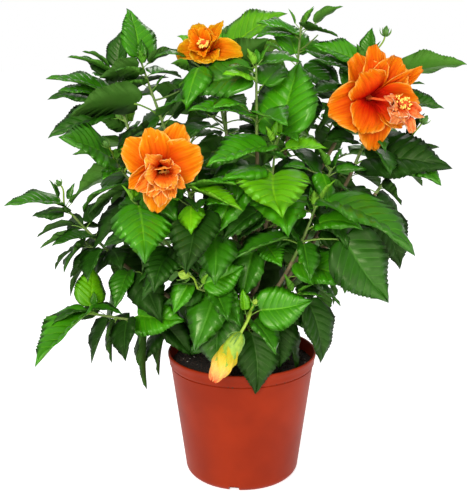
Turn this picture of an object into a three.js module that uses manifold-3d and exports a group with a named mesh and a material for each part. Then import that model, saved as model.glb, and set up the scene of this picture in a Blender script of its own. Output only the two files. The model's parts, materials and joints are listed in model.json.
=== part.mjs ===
// A potted double-flowered hibiscus, built as the real shrub is: a nursery pot full of soil, a short woody
// trunk, boughs that fork from it, and on each bough's tip one mass of leafy shoots. Millimetres, +Z up,
// +X to the plant's right, -Y to its front. The origin is the middle of the pot's flat underside.
import * as THREE from 'three';
import { mergeVertices } from 'three/addons/utils/BufferGeometryUtils.js';
import Module from 'manifold-3d';

const wasm = await Module();
wasm.setup();
const { Manifold, Mesh: SolidMesh } = wasm;
const { Vector3 } = THREE;
const vec = (x, y, z) => new Vector3(x, y, z);
const degrees = Math.PI / 180;

// ---- driving sizes ----
const clearance = 0.3; // left between solids that touch
const pot = {
  height: 165, rimRadius: 96, footRadius: 73, wall: 2.4, floor: 3, corner: 11,
  band: 15, bandStep: 1.3, lip: 3, facets: 26,
  notches: 8, notchWidth: 12, notchHeight: 4.2,
};
const soil = { below: 13, facets: 24 };
const trunk = {
  foot: vec(2, 4, 0), lean: vec(5, 3, 0), height: 62,
  flare: 17, radius: 9.5, top: 7, sides: 10,
};
// Radii at root and tip; reach is one ring each so many mm.
const limbs = { root: 4.6, tip: 2.7, sides: 5, reach: 34 };
const stems = { root: 2.6, tip: 1.6, sides: 4, reach: 46 };
const twigs = { root: 1.8, tip: 1.5, sides: 3, reach: 34 };
const petioles = { radius: 1.15, rootRadius: 0.6, share: 0.34, least: 9 };
const leaves = {
  turn: 144, thick: 0.018, margin: 1.6, tries: 14, outward: 0.55, lowest: 118, tilt: 1.1, dealtForms: 4,
};

const soilTop = pot.height - soil.below;

// Leaf forms, for length 1: how far the midrib arches down, how far the halves fold up, and the half width.
const leafForms = [
  { arch: 0.55, fold: 0.3, width: 0.36 },
  { arch: 0.95, fold: 0.18, width: 0.37 },
  { arch: 0.25, fold: 0.48, width: 0.35 },
  { arch: 0.75, fold: -0.22, width: 0.38 },
  { arch: 0.35, fold: 0.14, width: 0.43 }, // broad and nearly flat; only leaves in `set` have it
];

// Each shoot: the limb it forks from and where along it, its tip, how far it bellies out, the share that is
// bare bough, its leaves, the compass turn of the first and the length of the longest. The leaves in `set`
// grow first, each as [share, heading, dip, length, roll, form, petiole]; the rest follow the spiral. The
// twigs are [share, heading, rise, length, leaves].
const shoots = [
  { name: 'top', from: 'trunk', at: 1, tip: [72, 15, 580], bow: 0.04, bare: 0.5,
    leaves: 8, turn: 20, size: 84,
    set: [[0.94, -155, -14, 54, -25, 0], [0.88, 108, -38, 62, 0, 1], [0.95, -5, -30, 38, -25, 0, 22],
      [0.99, -35, 20, 58, -15, 4, 6], [0.85, -20, 32, 52, 25, 4, 8], [0.8, -165, -30, 60, 20, 4, 24]],
    twigs: [[0.7, 60, 45, 60, 4]] },
  { name: 'upper_left', from: 'trunk', at: 0.8, tip: [-120, -12, 530], bow: 0.02, bare: 0.5,
    leaves: 7, turn: 100, size: 76,
    set: [[0.99, 125, -64, 64, 10, 4], [0.95, 46, 7, 50, 10, 0], [0.97, -165, 14, 48, 45, 4, 5],
      [0.82, -145, 8, 88, 42, 1, 38], [0.99, 12, -24, 42, -30, 0, 7]],
    twigs: [[0.66, 60, 40, 50, 4]] },
  { name: 'upper_right', from: 'trunk', at: 0.9, tip: [172, 0, 505], bow: 0.1, bare: 0.5,
    leaves: 7, turn: 200, size: 76,
    set: [[0.99, -22, -8, 76, -30, 0, 28], [0.9, -60, 10, 62, 5, 0], [0.9, -5, 10, 56, 35, 2, 36],
      [0.72, -22, 4, 108, 40, 1, 18]],
    twigs: [] },
  { name: 'front_centre', from: 'trunk', at: 0.95, tip: [38, -80, 444], bow: 0.08, bare: 0.34,
    leaves: 8, turn: 60, size: 80,
    set: [[0.97, 62, -56, 98, 0, 4], [0.95, -144, 11, 85, -15, 0], [0.83, -86, 19, 98, 0, 4, 16],
      [0.5, -60, 30, 40, 20, 4]],
    twigs: [] },
  { name: 'back_top', from: 'trunk', at: 0.85, tip: [-25, 120, 545], bow: 0.1, bare: 0.5,
    leaves: 7, turn: 300, size: 90, set: [[0.98, -25, -28, 90, 50, 0, 16]],
    twigs: [[0.66, 30, 40, 60, 3], [0.75, 200, 35, 55, 3]] },

  { name: 'upper_left_far', from: 'upper_left', at: 0.7, tip: [-154, 0, 520], bow: 0.14, bare: 0.4,
    leaves: 7, turn: 10, size: 74,
    set: [[0.86, -165, -14, 76, -15, 0, 18], [0.97, -155, -20, 54, -5, 0],
      [0.78, -150, 10, 86, -20, 0, 24]],
    twigs: [[0.66, 20, 35, 45, 3]] },
  { name: 'left_mid', from: 'upper_left', at: 0.5, tip: [-150, -58, 420], bow: 0.05, bare: 0.4,
    leaves: 6, turn: 250, size: 76, set: [[0.97, -128, -21, 80, -45, 4], [0.8, 161, 31, 75, -10, 1]],
    twigs: [] },
  { name: 'left_far', from: 'trunk', at: 0.6, tip: [-221, -20, 362], bow: 0.1, bare: 0.4,
    leaves: 7, turn: 35, size: 66,
    set: [[0.97, -145, -4, 70, -12, 0], [0.8, -138, 3, 56, -5, 0], [0.86, 49, -37, 50, 0, 2]],
    twigs: [[0.62, 165, 30, 95, 7]] },
  { name: 'left_low', from: 'trunk', at: 0.14, tip: [-203, -52, 232], bow: -0.04, bare: 0.42,
    leaves: 8, turn: 80, size: 66,
    set: [[0.93, 95, -50, 58, 30, 3], [0.9, -122, 24, 100, 12, 2], [0.78, -110, 78, 52, 60, 2, 12],
      [0.62, -90, 78, 72, 80, 2], [0.72, -25, -2, 68, 45, 4, 14]],
    twigs: [] },
  { name: 'left_inner', from: 'upper_left', at: 0.3, tip: [-123, -82, 372], bow: 0.08, bare: 0.3,
    leaves: 8, turn: 180, size: 76, set: [[0.97, -79, 34, 92, 0, 3], [0.6, -110, 38, 66, -15, 1]],
    twigs: [] },
  { name: 'top_left', from: 'top', at: 0.5, tip: [-34, -32, 536], bow: 0.05, bare: 0.4,
    leaves: 7, turn: 140, size: 80,
    set: [[0.84, -28, -16, 90, -60, 2], [0.68, 180, -38, 42, -35, 4, 26]], twigs: [] },
  { name: 'top_front', from: 'top', at: 0.35, tip: [16, -72, 528], bow: 0.05, bare: 0.4,
    leaves: 7, turn: 75, size: 74,
    set: [[0.98, -164, 8, 84, -40, 4, 10], [0.78, -149, -12, 88, -20, 0]], twigs: [] },
  { name: 'top_right', from: 'top', at: 0.7, tip: [150, 2, 532], bow: 0.1, bare: 0.4,
    leaves: 9, turn: 60, size: 66,
    set: [[0.99, -165, -22, 62, -40, 0, 12], [0.92, -170, -14, 56, -30, 1, 10],
      [0.99, 60, -72, 34, 0, 2]],
    twigs: [] },
  { name: 'right_far', from: 'upper_right', at: 0.6, tip: [205, -4, 438], bow: 0.1, bare: 0.4,
    leaves: 7, turn: 120, size: 62, set: [[0.82, -50, 14, 70, 22, 1], [0.96, 20, -60, 36, 0, 2]],
    twigs: [] },
  { name: 'right_mid', from: 'upper_right', at: 0.45, tip: [106, -44, 408], bow: 0.04, bare: 0.4,
    leaves: 7, turn: 215, size: 66, set: [], twigs: [] },
  { name: 'right_low', from: 'trunk', at: 0.7, tip: [86, -92, 376], bow: 0.08, bare: 0.34,
    leaves: 7, turn: 330, size: 76,
    set: [[0.97, -35, 24, 122, 4, 1], [0.76, -10, 54, 92, 58, 4, 58], [0.6, -20, 12, 80, 25, 4]],
    twigs: [[0.6, 0, 5, 62, 4]] },
  { name: 'front_low', from: 'trunk', at: 0.55, tip: [6, -96, 238], bow: 0.02, bare: 0.36,
    leaves: 6, turn: 90, size: 66,
    set: [[0.98, -6, -15, 64, 66, 4, 19], [0.62, -75, 76, 76, 0, 1], [0.45, -40, 78, 60, 0, 1]],
    twigs: [] },
  { name: 'front_right_low', from: 'trunk', at: 0.4, tip: [64, -66, 256], bow: 0, bare: 0.36,
    leaves: 7, turn: 190, size: 70, set: [[0.7, -80, 78, 66, 0, 1], [0.97, -45, 74, 76, 0, 1]],
    twigs: [] },
  { name: 'front_left_low', from: 'front_centre', at: 0.5, tip: [-52, -96, 274], bow: 0.04, bare: 0.3,
    leaves: 9, turn: 160, size: 74, set: [[0.99, 8, -22, 52, 60, 4, 9], [0.42, -93, 70, 96, 0, 1, 34]],
    twigs: [] },
  { name: 'front_left', from: 'front_centre', at: 0.9, tip: [-62, -90, 388], bow: 0.08, bare: 0.34,
    leaves: 8, turn: 200, size: 74,
    set: [[0.97, -32, 15, 66, 0, 2], [0.93, -28, -18, 62, 0, 0], [0.8, -101, 45, 84, 0, 1]],
    twigs: [] },

  { name: 'back_left', from: 'back_top', at: 0.5, tip: [-160, 120, 450], bow: 0.08, bare: 0.4,
    leaves: 9, turn: 30, size: 88, set: [], twigs: [[0.6, 200, 25, 65, 4]] },
  { name: 'back_right', from: 'back_top', at: 0.6, tip: [135, 125, 470], bow: 0.08, bare: 0.4,
    leaves: 9, turn: 150, size: 88, set: [], twigs: [[0.6, 0, 25, 65, 4]] },
  { name: 'back_low_left', from: 'trunk', at: 0.65, tip: [-140, 135, 310], bow: 0.06, bare: 0.36,
    leaves: 8, turn: 90, size: 82, set: [], twigs: [[0.6, 190, 15, 65, 4]] },
  { name: 'back_low_right', from: 'trunk', at: 0.75, tip: [150, 110, 335], bow: 0.06, bare: 0.36,
    leaves: 8, turn: 260, size: 82, set: [], twigs: [[0.6, -5, 15, 65, 4]] },
  { name: 'back_centre', from: 'back_top', at: 0.3, tip: [5, 175, 385], bow: 0.08, bare: 0.4,
    leaves: 8, turn: 0, size: 88, set: [], twigs: [[0.6, 60, 15, 60, 4]] },
];

// Blooms: the shoot and share that the stalk leaves, the throat, the way the flower faces, and its radius.
const blooms = [
  { name: 'bloom_left', shoot: 'left_mid', share: 0.9, at: [-90, -112, 417],
    heading: -80, rise: 0, radius: 48, turn: 20 },
  { name: 'bloom_top', shoot: 'top_left', share: 0.99, at: [-41, -38, 542],
    heading: -100, rise: 25, radius: 38, turn: 26 },
  { name: 'bloom_right', shoot: 'upper_right', share: 0.99, at: [149, -60, 490],
    heading: -80, rise: 0, radius: 58, turn: 50 },
];

// ---- small tools ----
// The same run of numbers from the same seed, from 0 to 1.
function randomFrom(seed) {
  let state = seed;
  return () => {
    state = (state * 16807) % 2147483647;
    return state / 2147483647;
  };
}
const mix = (a, b, share) => a + (b - a) * share;
const compass = (heading, rise = 0) => vec(
  Math.cos(heading * degrees) * Math.cos(rise * degrees),
  Math.sin(heading * degrees) * Math.cos(rise * degrees),
  Math.sin(rise * degrees),
);

// A closed mesh from its points and faces, turned so that the faces point out.
function closedMesh(points, faces) {
  let sixVolumes = 0;
  for (const [a, b, c] of faces) sixVolumes += points[a].dot(points[b].clone().cross(points[c]));
  const index = sixVolumes < 0 ? faces.map(([a, b, c]) => [a, c, b]) : faces;
  const positions = new THREE.Float32BufferAttribute(points.flatMap((p) => p.toArray()), 3);
  return new THREE.BufferGeometry().setAttribute('position', positions).setIndex(index.flat());
}

function solidOf(geometry) {
  const bare = new THREE.BufferGeometry();
  bare.setAttribute('position', geometry.getAttribute('position')).setIndex(geometry.index);
  const merged = mergeVertices(bare, 1e-4);
  return new Manifold(new SolidMesh({
    numProp: 3,
    vertProperties: new Float32Array(merged.attributes.position.array),
    triVerts: new Uint32Array(merged.index.array),
  }));
}

function geometryOf(solid) {
  const mesh = solid.getMesh();
  return new THREE.BufferGeometry()
    .setAttribute('position', new THREE.BufferAttribute(new Float32Array(mesh.vertProperties), 3))
    .setIndex(new THREE.BufferAttribute(new Uint32Array(mesh.triVerts), 1));
}

const largest = (solid) => solid.decompose().sort((a, b) => b.volume() - a.volume())[0];
const largestPiece = (solid) => largest(largest(solid).simplify(0.08));

// A round limb along a run of points, with a radius for each and flat ends. Its rings are square to the
// tangents, which are found from the points where they aren't given.
function limb(path, radii, sides, tangents) {
  const points = [];
  const faces = [];
  let side = vec(1, 0.2, 0.1).normalize();
  path.forEach((point, i) => {
    const [before, after] = [path[Math.max(i - 1, 0)], path[Math.min(i + 1, path.length - 1)]];
    const along = tangents?.[i] ?? after.clone().sub(before).normalize();
    side = side.clone().addScaledVector(along, -side.dot(along)).normalize();
    const over = along.clone().cross(side);
    for (let k = 0; k < sides; k += 1) {
      const turn = (2 * Math.PI * k) / sides;
      points.push(point.clone()
        .addScaledVector(side, Math.cos(turn) * radii[i])
        .addScaledVector(over, Math.sin(turn) * radii[i]));
    }
  });
  const last = (path.length - 1) * sides;
  for (let i = 0; i < path.length - 1; i += 1) {
    for (let k = 0; k < sides; k += 1) {
      const [a, b] = [i * sides + k, i * sides + ((k + 1) % sides)];
      faces.push([a, b, b + sides], [a, b + sides, a + sides]);
    }
  }
  for (let k = 1; k < sides - 1; k += 1) faces.push([0, k + 1, k], [last, last + k, last + k + 1]);
  return closedMesh(points, faces);
}

// A thin closed blade through a grid of points, thick in the middle and sharp at its rim.
function blade(grid, thickness) {
  const [rows, columns] = [grid.length, grid[0].length];
  const points = grid.flat();
  const rim = (i, j) => i === 0 || j === 0 || i === rows - 1 || j === columns - 1;
  const upper = (i, j) => i * columns + j;
  const lowerOf = new Map();
  for (let i = 1; i < rows - 1; i += 1) {
    for (let j = 1; j < columns - 1; j += 1) {
      const across = grid[i][j + 1].clone().sub(grid[i][j - 1]);
      const normal = grid[i + 1][j].clone().sub(grid[i - 1][j]).cross(across).normalize();
      lowerOf.set(upper(i, j), points.length);
      points.push(grid[i][j].clone().addScaledVector(normal, -thickness));
    }
  }
  const lower = (i, j) => (rim(i, j) ? upper(i, j) : lowerOf.get(upper(i, j)));
  const faces = [];
  for (let i = 0; i < rows - 1; i += 1) {
    for (let j = 0; j < columns - 1; j += 1) {
      const cell = [[i, j], [i, j + 1], [i + 1, j + 1], [i + 1, j]];
      const corner = rim(i, j) && rim(i + 1, j + 1) && !(rim(i, j + 1) && rim(i + 1, j)) ? 1 : 0;
      const [a, b, c, d] = [0, 1, 2, 3].map((k) => cell[(k + corner) % 4]);
      faces.push([a, b, c].map((p) => upper(...p)), [a, c, d].map((p) => upper(...p)));
      faces.push([a, c, b].map((p) => lower(...p)), [a, d, c].map((p) => lower(...p)));
    }
  }
  return closedMesh(points, faces);
}

// ---- what is in the way: plain triangles, and whether two sets of them cross ----
function trianglesOf(geometry) {
  const [position, index] = [geometry.getAttribute('position'), geometry.index];
  const triangles = [];
  for (let i = 0; i < index.count; i += 3) {
    const corners = [0, 1, 2].map((k) => index.getX(i + k));
    triangles.push(corners.map((k) => new Vector3().fromBufferAttribute(position, k)));
  }
  const box = new THREE.Box3().setFromPoints(triangles.flat());
  return { triangles, box };
}

function segmentCrosses(from, to, [a, b, c]) {
  const [ux, uy, uz] = [b.x - a.x, b.y - a.y, b.z - a.z];
  const [vx, vy, vz] = [c.x - a.x, c.y - a.y, c.z - a.z];
  const [dx, dy, dz] = [to.x - from.x, to.y - from.y, to.z - from.z];
  const [px, py, pz] = [dy * vz - dz * vy, dz * vx - dx * vz, dx * vy - dy * vx];
  const det = ux * px + uy * py + uz * pz;
  if (Math.abs(det) < 1e-9) return false;
  const [sx, sy, sz] = [from.x - a.x, from.y - a.y, from.z - a.z];
  const u = (sx * px + sy * py + sz * pz) / det;
  if (u < 0 || u > 1) return false;
  const [qx, qy, qz] = [sy * uz - sz * uy, sz * ux - sx * uz, sx * uy - sy * ux];
  const v = (dx * qx + dy * qy + dz * qz) / det;
  if (v < 0 || u + v > 1) return false;
  const t = (vx * qx + vy * qy + vz * qz) / det;
  return t >= 0 && t <= 1;
}

function edgesCross(one, other) {
  for (const [a, b, c] of one) {
    const crossed = (triangle) => segmentCrosses(a, b, triangle)
      || segmentCrosses(b, c, triangle) || segmentCrosses(c, a, triangle);
    if (other.some(crossed)) return true;
  }
  return false;
}

function crosses(one, other) {
  if (!one.box.intersectsBox(other.box)) return false;
  const shared = one.box.clone().intersect(other.box);
  const near = (set) => set.triangles.filter((t) => new THREE.Box3().setFromPoints(t).intersectsBox(shared));
  const [oneNear, otherNear] = [near(one), near(other)];
  return edgesCross(oneNear, otherNear) || edgesCross(otherNear, oneNear);
}

// ---- pot and soil ----
function lathe(profile, facets) {
  const points = profile.map(([r, z]) => new THREE.Vector2(r, z));
  const turned = new THREE.LatheGeometry(points, facets).rotateX(Math.PI / 2);
  turned.deleteAttribute('normal');
  turned.deleteAttribute('uv');
  return solidOf(turned);
}
const wallRadius = (z) => mix(pot.footRadius, pot.rimRadius - pot.bandStep, z / pot.height);

function potSolid() {
  const bandFoot = pot.height - pot.band;
  const corner = [0, 0.5, 1].map((share) => {
    const turn = (share * Math.PI) / 2;
    return [wallRadius(pot.corner) - pot.corner * (1 - Math.sin(turn)), pot.corner * (1 - Math.cos(turn))];
  });
  const outside = [
    [0, 0],
    ...corner,
    [wallRadius(bandFoot), bandFoot],
    [wallRadius(bandFoot) + pot.bandStep, bandFoot + 1],
    [pot.rimRadius, pot.height - pot.lip],
    [pot.rimRadius - 0.6, pot.height],
  ];
  const inside = [
    [pot.rimRadius - pot.wall, pot.height],
    [wallRadius(pot.corner) - pot.wall, pot.corner],
    [wallRadius(pot.corner) - pot.corner, pot.floor],
    [0, pot.floor],
  ];
  let body = lathe([...outside, ...inside], pot.facets);
  for (let k = 0; k < pot.notches; k += 1) {
    const notch = new THREE.BoxGeometry(pot.corner * 1.6, pot.notchWidth, pot.notchHeight * 2);
    notch.translate(pot.footRadius - pot.corner * 0.3, 0, 0);
    notch.rotateZ(((k - 0.18) / pot.notches) * 2 * Math.PI - Math.PI / 2);
    body = body.subtract(solidOf(notch));
  }
  return body;
}

function soilSolid() {
  const inner = (z) => {
    const share = (z - pot.corner) / (pot.height - pot.corner);
    return mix(wallRadius(pot.corner), pot.rimRadius, share) - pot.wall - clearance * 2;
  };
  return lathe([
    [0, pot.floor + clearance],
    [wallRadius(pot.corner) - pot.corner - 1, pot.floor + clearance],
    [inner(pot.corner) - 1.5, pot.corner + 1],
    [inner(soilTop) - 0.6, soilTop - 3],
    [inner(soilTop) - 8, soilTop],
    [0, soilTop],
  ], soil.facets);
}

// ---- trunk, boughs and stems ----
const curves = new Map();
const trunkFoot = trunk.foot.clone().setZ(soilTop + clearance);
curves.set('trunk', new THREE.QuadraticBezierCurve3(
  trunkFoot,
  trunkFoot.clone().add(vec(0, 0, trunk.height / 2)),
  trunkFoot.clone().add(trunk.lean).add(vec(0, 0, trunk.height)),
));

function trunkSolid(spare = 0) {
  const rings = [0, 0.08, 0.22, 0.6, 1];
  const flare = (share) => (trunk.flare - trunk.radius) * (1 - share) ** 14;
  const radii = rings.map((share) => mix(trunk.radius, trunk.top, share) + flare(share));
  const path = rings.map((share) => curves.get('trunk').getPoint(share));
  path[path.length - 1].add(vec(0, 0, spare));
  return limb(path, radii.map((r) => r + spare), trunk.sides);
}

// A shoot's whole run, from the limb that it forks from to its tip. It bellies out and down, then rises.
function shootCurve({ from, at, tip, bow }) {
  const parent = curves.get(from);
  const start = parent.getPoint(from === 'trunk' ? at : at * shoots.find((s) => s.name === from).bare);
  const end = vec(...tip);
  const away = end.clone().sub(start);
  const belly = away.clone().cross(vec(0, 0, 1)).cross(away).normalize();
  belly.multiplyScalar(-bow * start.distanceTo(end));
  return new THREE.CubicBezierCurve3(
    start,
    start.clone().lerp(end, 0.25).add(belly),
    start.clone().lerp(end, 0.65).add(belly),
    end,
  );
}

// Part of a curve as a tapering limb. A spare is added to its radius and to both of its ends.
function run(curve, fromShare, toShare, { root, tip, sides, reach }, spare = 0) {
  const count = Math.max(2, Math.round((curve.getLength() * (toShare - fromShare)) / reach));
  const shares = Array.from({ length: count + 1 }, (_, i) => mix(fromShare, toShare, i / count));
  const tangents = shares.map((share) => curve.getTangent(share));
  const path = shares.map((share) => curve.getPoint(share));
  path[0].addScaledVector(tangents[0], -spare);
  path[count].addScaledVector(tangents[count], spare);
  return limb(path, path.map((_, i) => mix(root, tip, i / count) + spare), sides, tangents);
}

// ---- leaves ----
// A leaf in its own frame: midrib along X, +Z above, base at the origin. Stations are [along, half width].
const outline = [[0.1, 0.8], [0.36, 1], [0.7, 0.6]];
const midribs = [0.38, 0.7];

function leafPoints(form, length, thickness) {
  const { arch, fold, width } = form;
  const place = (s, aside, above) => {
    const [sin, cos] = [Math.sin(arch * (s - 0.5)), Math.cos(arch * (s - 0.5))];
    const rise = Math.abs(aside) * Math.sin(fold) * length + above;
    const x = ((sin + Math.sin(arch / 2)) / arch) * length + sin * rise;
    const z = ((cos - Math.cos(arch / 2)) / arch) * length + cos * rise;
    return vec(x, aside * Math.cos(fold) * length, z);
  };
  return {
    left: outline.map(([s, w]) => place(s, w * width, 0)),
    right: outline.map(([s, w]) => place(s, -w * width, 0)),
    upper: midribs.map((s) => place(s, 0, thickness / 2)),
    lower: midribs.map((s) => place(s, 0, -thickness / 2)),
    tip: place(1, 0, 0),
  };
}

// The leaf's blade and petiole as one closed mesh. The petiole is a three-sided run back to its root.
function leafMesh({ root, base, level, along, side, up, length, form }, spare = 0) {
  const local = leafPoints(leafForms[form], length, length * leaves.thick + spare * 2);
  const placed = (p) => base.clone()
    .addScaledVector(along, p.x)
    .addScaledVector(side, p.y)
    .addScaledVector(up, p.z);
  const [radius, rootRadius] = [petioles.radius, petioles.rootRadius].map((r) => r + spare * 0.4);
  const over = base.clone().sub(root).cross(level).normalize();
  const points = [
    [side, radius, base], [side, -radius, base], [up, -radius, base],
    [level, rootRadius, root], [level, -rootRadius, root], [over, -rootRadius, root],
  ].map(([direction, reach, at]) => at.clone().addScaledVector(direction, reach));
  const { left, right, upper, lower, tip: end } = local;
  points.push(...[...left, ...right, ...upper, ...lower, end].map(placed));
  const [bl, br, bb, rl, rr, rb] = [0, 1, 2, 3, 4, 5];
  const [l1, l2, l3, r1, r2, r3, m1, m2, n1, n2, tip] = [6, 7, 8, 9, 10, 11, 12, 13, 14, 15, 16];
  return closedMesh(points, [
    [bl, br, m1], [bl, m1, l1], [l1, m1, l2], [m1, m2, l2], [l2, m2, l3], [m2, tip, l3],
    [br, r1, m1], [r1, r2, m1], [m1, r2, m2], [r2, r3, m2], [m2, r3, tip],
    [bl, l1, bb], [bb, l1, n1], [l1, l2, n1], [n1, l2, n2], [l2, l3, n2], [n2, l3, tip],
    [r1, br, bb], [bb, n1, r1], [r1, n1, r2], [n1, n2, r2], [r2, n2, r3], [n2, tip, r3],
    [br, bl, rl], [br, rl, rr], [bl, bb, rb], [bl, rb, rl], [bb, br, rr], [bb, rr, rb], [rl, rb, rr],
  ]);
}

// Where a leaf sits: its petiole leaves the stem at `root`, and its blade points along heading and dip.
function placeLeaf({ root, heading, dip, length, roll, form, petiole, free }) {
  const level = compass(heading + 90);
  const away = compass(heading);
  const reach = Math.max(petioles.least, petiole ?? length * petioles.share);
  const base = root.clone().addScaledVector(away, reach * 0.86).add(vec(0, 0, reach * (0.5 - dip / 130)));
  const along = compass(heading, -dip);
  const up = along.clone().cross(level).normalize();
  const toLight = root.clone().setZ(0).multiplyScalar(leaves.tilt / 200).clampLength(0, leaves.tilt).setZ(1);
  const turned = free ? Math.atan2(-toLight.dot(level), toLight.dot(up)) : 0;
  const rolled = new THREE.Quaternion().setFromAxisAngle(along, turned + roll * degrees);
  const side = level.clone().applyQuaternion(rolled);
  return { root, base, level, along, side, up: up.applyQuaternion(rolled), length, form };
}

// ---- growing the shrub ----
const parts = new Map(); // node name to its solid
const obstacles = []; // { owner, kind, set } of everything placed so far
const block = (owner, kind, geometry) => obstacles.push({ owner, kind, set: trianglesOf(geometry) });
const materials = {
  pot: ['#b03a1c', 0.5], soil: ['#1c1512', 0.95], bark: ['#7d6a4c', 0.85], stem: ['#5d7a2c', 0.7],
  foliage: ['#2f8a1c', 0.45], petal: ['#f77a12', 0.6],
};

parts.set('pot', { solid: potSolid(), material: 'pot' });
parts.set('soil', { solid: soilSolid(), material: 'soil' });
block('pot', 'pot', geometryOf(parts.get('pot').solid));
block('soil', 'soil', geometryOf(parts.get('soil').solid));

const trunkBody = solidOf(trunkSolid());
parts.set('trunk', { solid: trunkBody, material: 'bark' });
block('trunk', 'limb', trunkSolid(1));

const fatBoughs = new Map([['trunk', solidOf(trunkSolid(clearance))]]);
for (const shoot of shoots) {
  const curve = shootCurve(shoot);
  curves.set(shoot.name, curve);
  let bough = solidOf(run(curve, 0, shoot.bare, limbs));
  for (const fat of fatBoughs.values()) bough = bough.subtract(fat);
  parts.set('bough_' + shoot.name, { solid: largestPiece(bough), material: 'bark' });
  fatBoughs.set(shoot.name, solidOf(run(curve, 0, shoot.bare, limbs, clearance)));
  block('bough_' + shoot.name, 'limb', run(curve, 0.03, shoot.bare, limbs, 1));
}

// The stem of each mass goes on from its bough's tip.
const masses = new Map();
for (const shoot of shoots) {
  const curve = curves.get(shoot.name);
  const step = curve.getPoint(shoot.bare).distanceTo(curve.getPoint(shoot.bare + 0.01));
  const start = shoot.bare + (clearance * 0.01) / step;
  masses.set(shoot.name, [solidOf(run(curve, start, 1, stems))]);
  block(shoot.name, 'stem', run(curve, start, 1, stems, 0.8));
}

// ---- blooms: stalk, calyx, two rounds of petals and a knot of petaloids round the column ----
const petalRounds = [
  { count: 5, reach: 1, width: 0.84, lift: 0.42, flare: 0.3, turn: 0, rows: 4, columns: 3, thick: 1.6 },
  { count: 4, reach: 0.72, width: 0.62, lift: 0.62, flare: 0.62, turn: 36, rows: 4, columns: 3, thick: 1.3 },
  { count: 3, reach: 0.42, width: 0.4, lift: 0.72, flare: 0.9, turn: 75, rows: 3, columns: 3, thick: 1.3 },
];

function petal(frame, round, turn, radius) {
  const { throat, axis, side, over } = frame;
  const out = side.clone().multiplyScalar(Math.cos(turn)).addScaledVector(over, Math.sin(turn));
  const across = axis.clone().cross(out);
  const away = (lift, reach) => throat.clone()
    .addScaledVector(axis, lift * radius)
    .addScaledVector(out, reach * radius);
  const spine = new THREE.CubicBezierCurve3(
    away(-0.3, 0.02),
    away(0.1, 0.1),
    away(round.lift, 0.45 * round.reach),
    away(round.flare, round.reach),
  );
  const grid = [];
  for (let i = 0; i < round.rows; i += 1) {
    const s = i / (round.rows - 1);
    const sector = spine.getPoint(s).sub(throat).dot(out) * Math.tan(Math.PI / round.count) * 0.94;
    const half = Math.min(sector, 0.5 * round.width * radius * (i === round.rows - 1 ? 0.86 : 1));
    const row = [];
    for (let j = 0; j < round.columns; j += 1) {
      const t = (2 * j) / (round.columns - 1) - 1;
      const inset = i === round.rows - 1 ? 0.16 * radius * round.reach * t * t : 0;
      row.push(spine.getPoint(s)
        .addScaledVector(across, t * half)
        .addScaledVector(axis, radius * 0.09 * s * (t * t + 0.5 * t))
        .addScaledVector(out, -inset));
    }
    grid.push(row);
  }
  return solidOf(blade(grid, round.thick));
}

function bloomSolid({ shoot, share, at, heading, rise, radius, turn }) {
  const axis = compass(heading, rise);
  const side = compass(heading + 90);
  const frame = { throat: vec(...at), axis, side, over: axis.clone().cross(side) };
  const solids = [];
  for (const round of petalRounds) {
    for (let k = 0; k < round.count; k += 1) {
      solids.push(petal(frame, round, ((360 * k) / round.count + round.turn + turn) * degrees, radius));
    }
  }
  const along = (share2) => frame.throat.clone().addScaledVector(axis, share2 * radius);
  solids.push(solidOf(limb([along(-0.62), along(-0.42), along(-0.1), along(0.15)], [3, 6.5, 5.5, 3.2], 7)));
  solids.push(solidOf(limb([along(0.1), along(0.55), along(0.75)], [2.2, 2.6, 4.2], 5)));
  const curve = curves.get(shoot);
  const root = curve.getPoint(share);
  const stalk = new THREE.CubicBezierCurve3(root, root.clone().add(vec(0, 0, 14)), along(-1.1), along(-0.6));
  solids.push(solidOf(run(stalk, 0, 1, { root: 1.5, tip: 1.8, sides: 4, reach: 28 })));
  const start = shoots.find((s) => s.name === shoot).bare;
  const stem = solidOf(run(curve, start, 1, stems, clearance));
  return largestPiece(Manifold.union(solids).subtract(stem));
}

for (const bloom of blooms) {
  const solid = bloomSolid(bloom);
  parts.set(bloom.name, { solid, material: 'petal' });
  block(bloom.name, 'bloom', geometryOf(solid));
}

// The opening bud: furled petals in a calyx that hangs from a bent stalk.
function budSolid({ shoot, share, calyx, tip }) {
  const axis = vec(...tip).sub(vec(...calyx));
  const along = (s) => vec(...calyx).addScaledVector(axis, s);
  const solids = [
    solidOf(limb([-0.12, 0.12, 0.4, 0.65, 0.85, 1].map(along), [4, 9, 12.5, 11.5, 8.5, 3], 7)),
    solidOf(limb([-0.22, -0.05, 0.2].map(along), [3, 8, 11.5], 6)),
  ];
  const root = curves.get(shoot).getPoint(share);
  const bend = root.clone().lerp(along(-1), 0.4).add(vec(0, 0, 6));
  const stalk = new THREE.CubicBezierCurve3(root, bend, along(-0.8), along(-0.15));
  solids.push(solidOf(run(stalk, 0, 1, { root: 1.4, tip: 1.8, sides: 5, reach: 16 })));
  const start = shoots.find((s) => s.name === shoot).bare;
  const stem = solidOf(run(curves.get(shoot), start, 1, stems, clearance));
  return largestPiece(Manifold.union(solids).subtract(stem));
}
const opening = {
  name: 'opening_bud', shoot: 'front_low', share: 0.98, calyx: [-7, -130, 221], tip: [-33, -138, 177],
};
parts.set(opening.name, { solid: budSolid(opening), material: 'petal' });
block(opening.name, 'bloom', geometryOf(parts.get(opening.name).solid));

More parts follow.
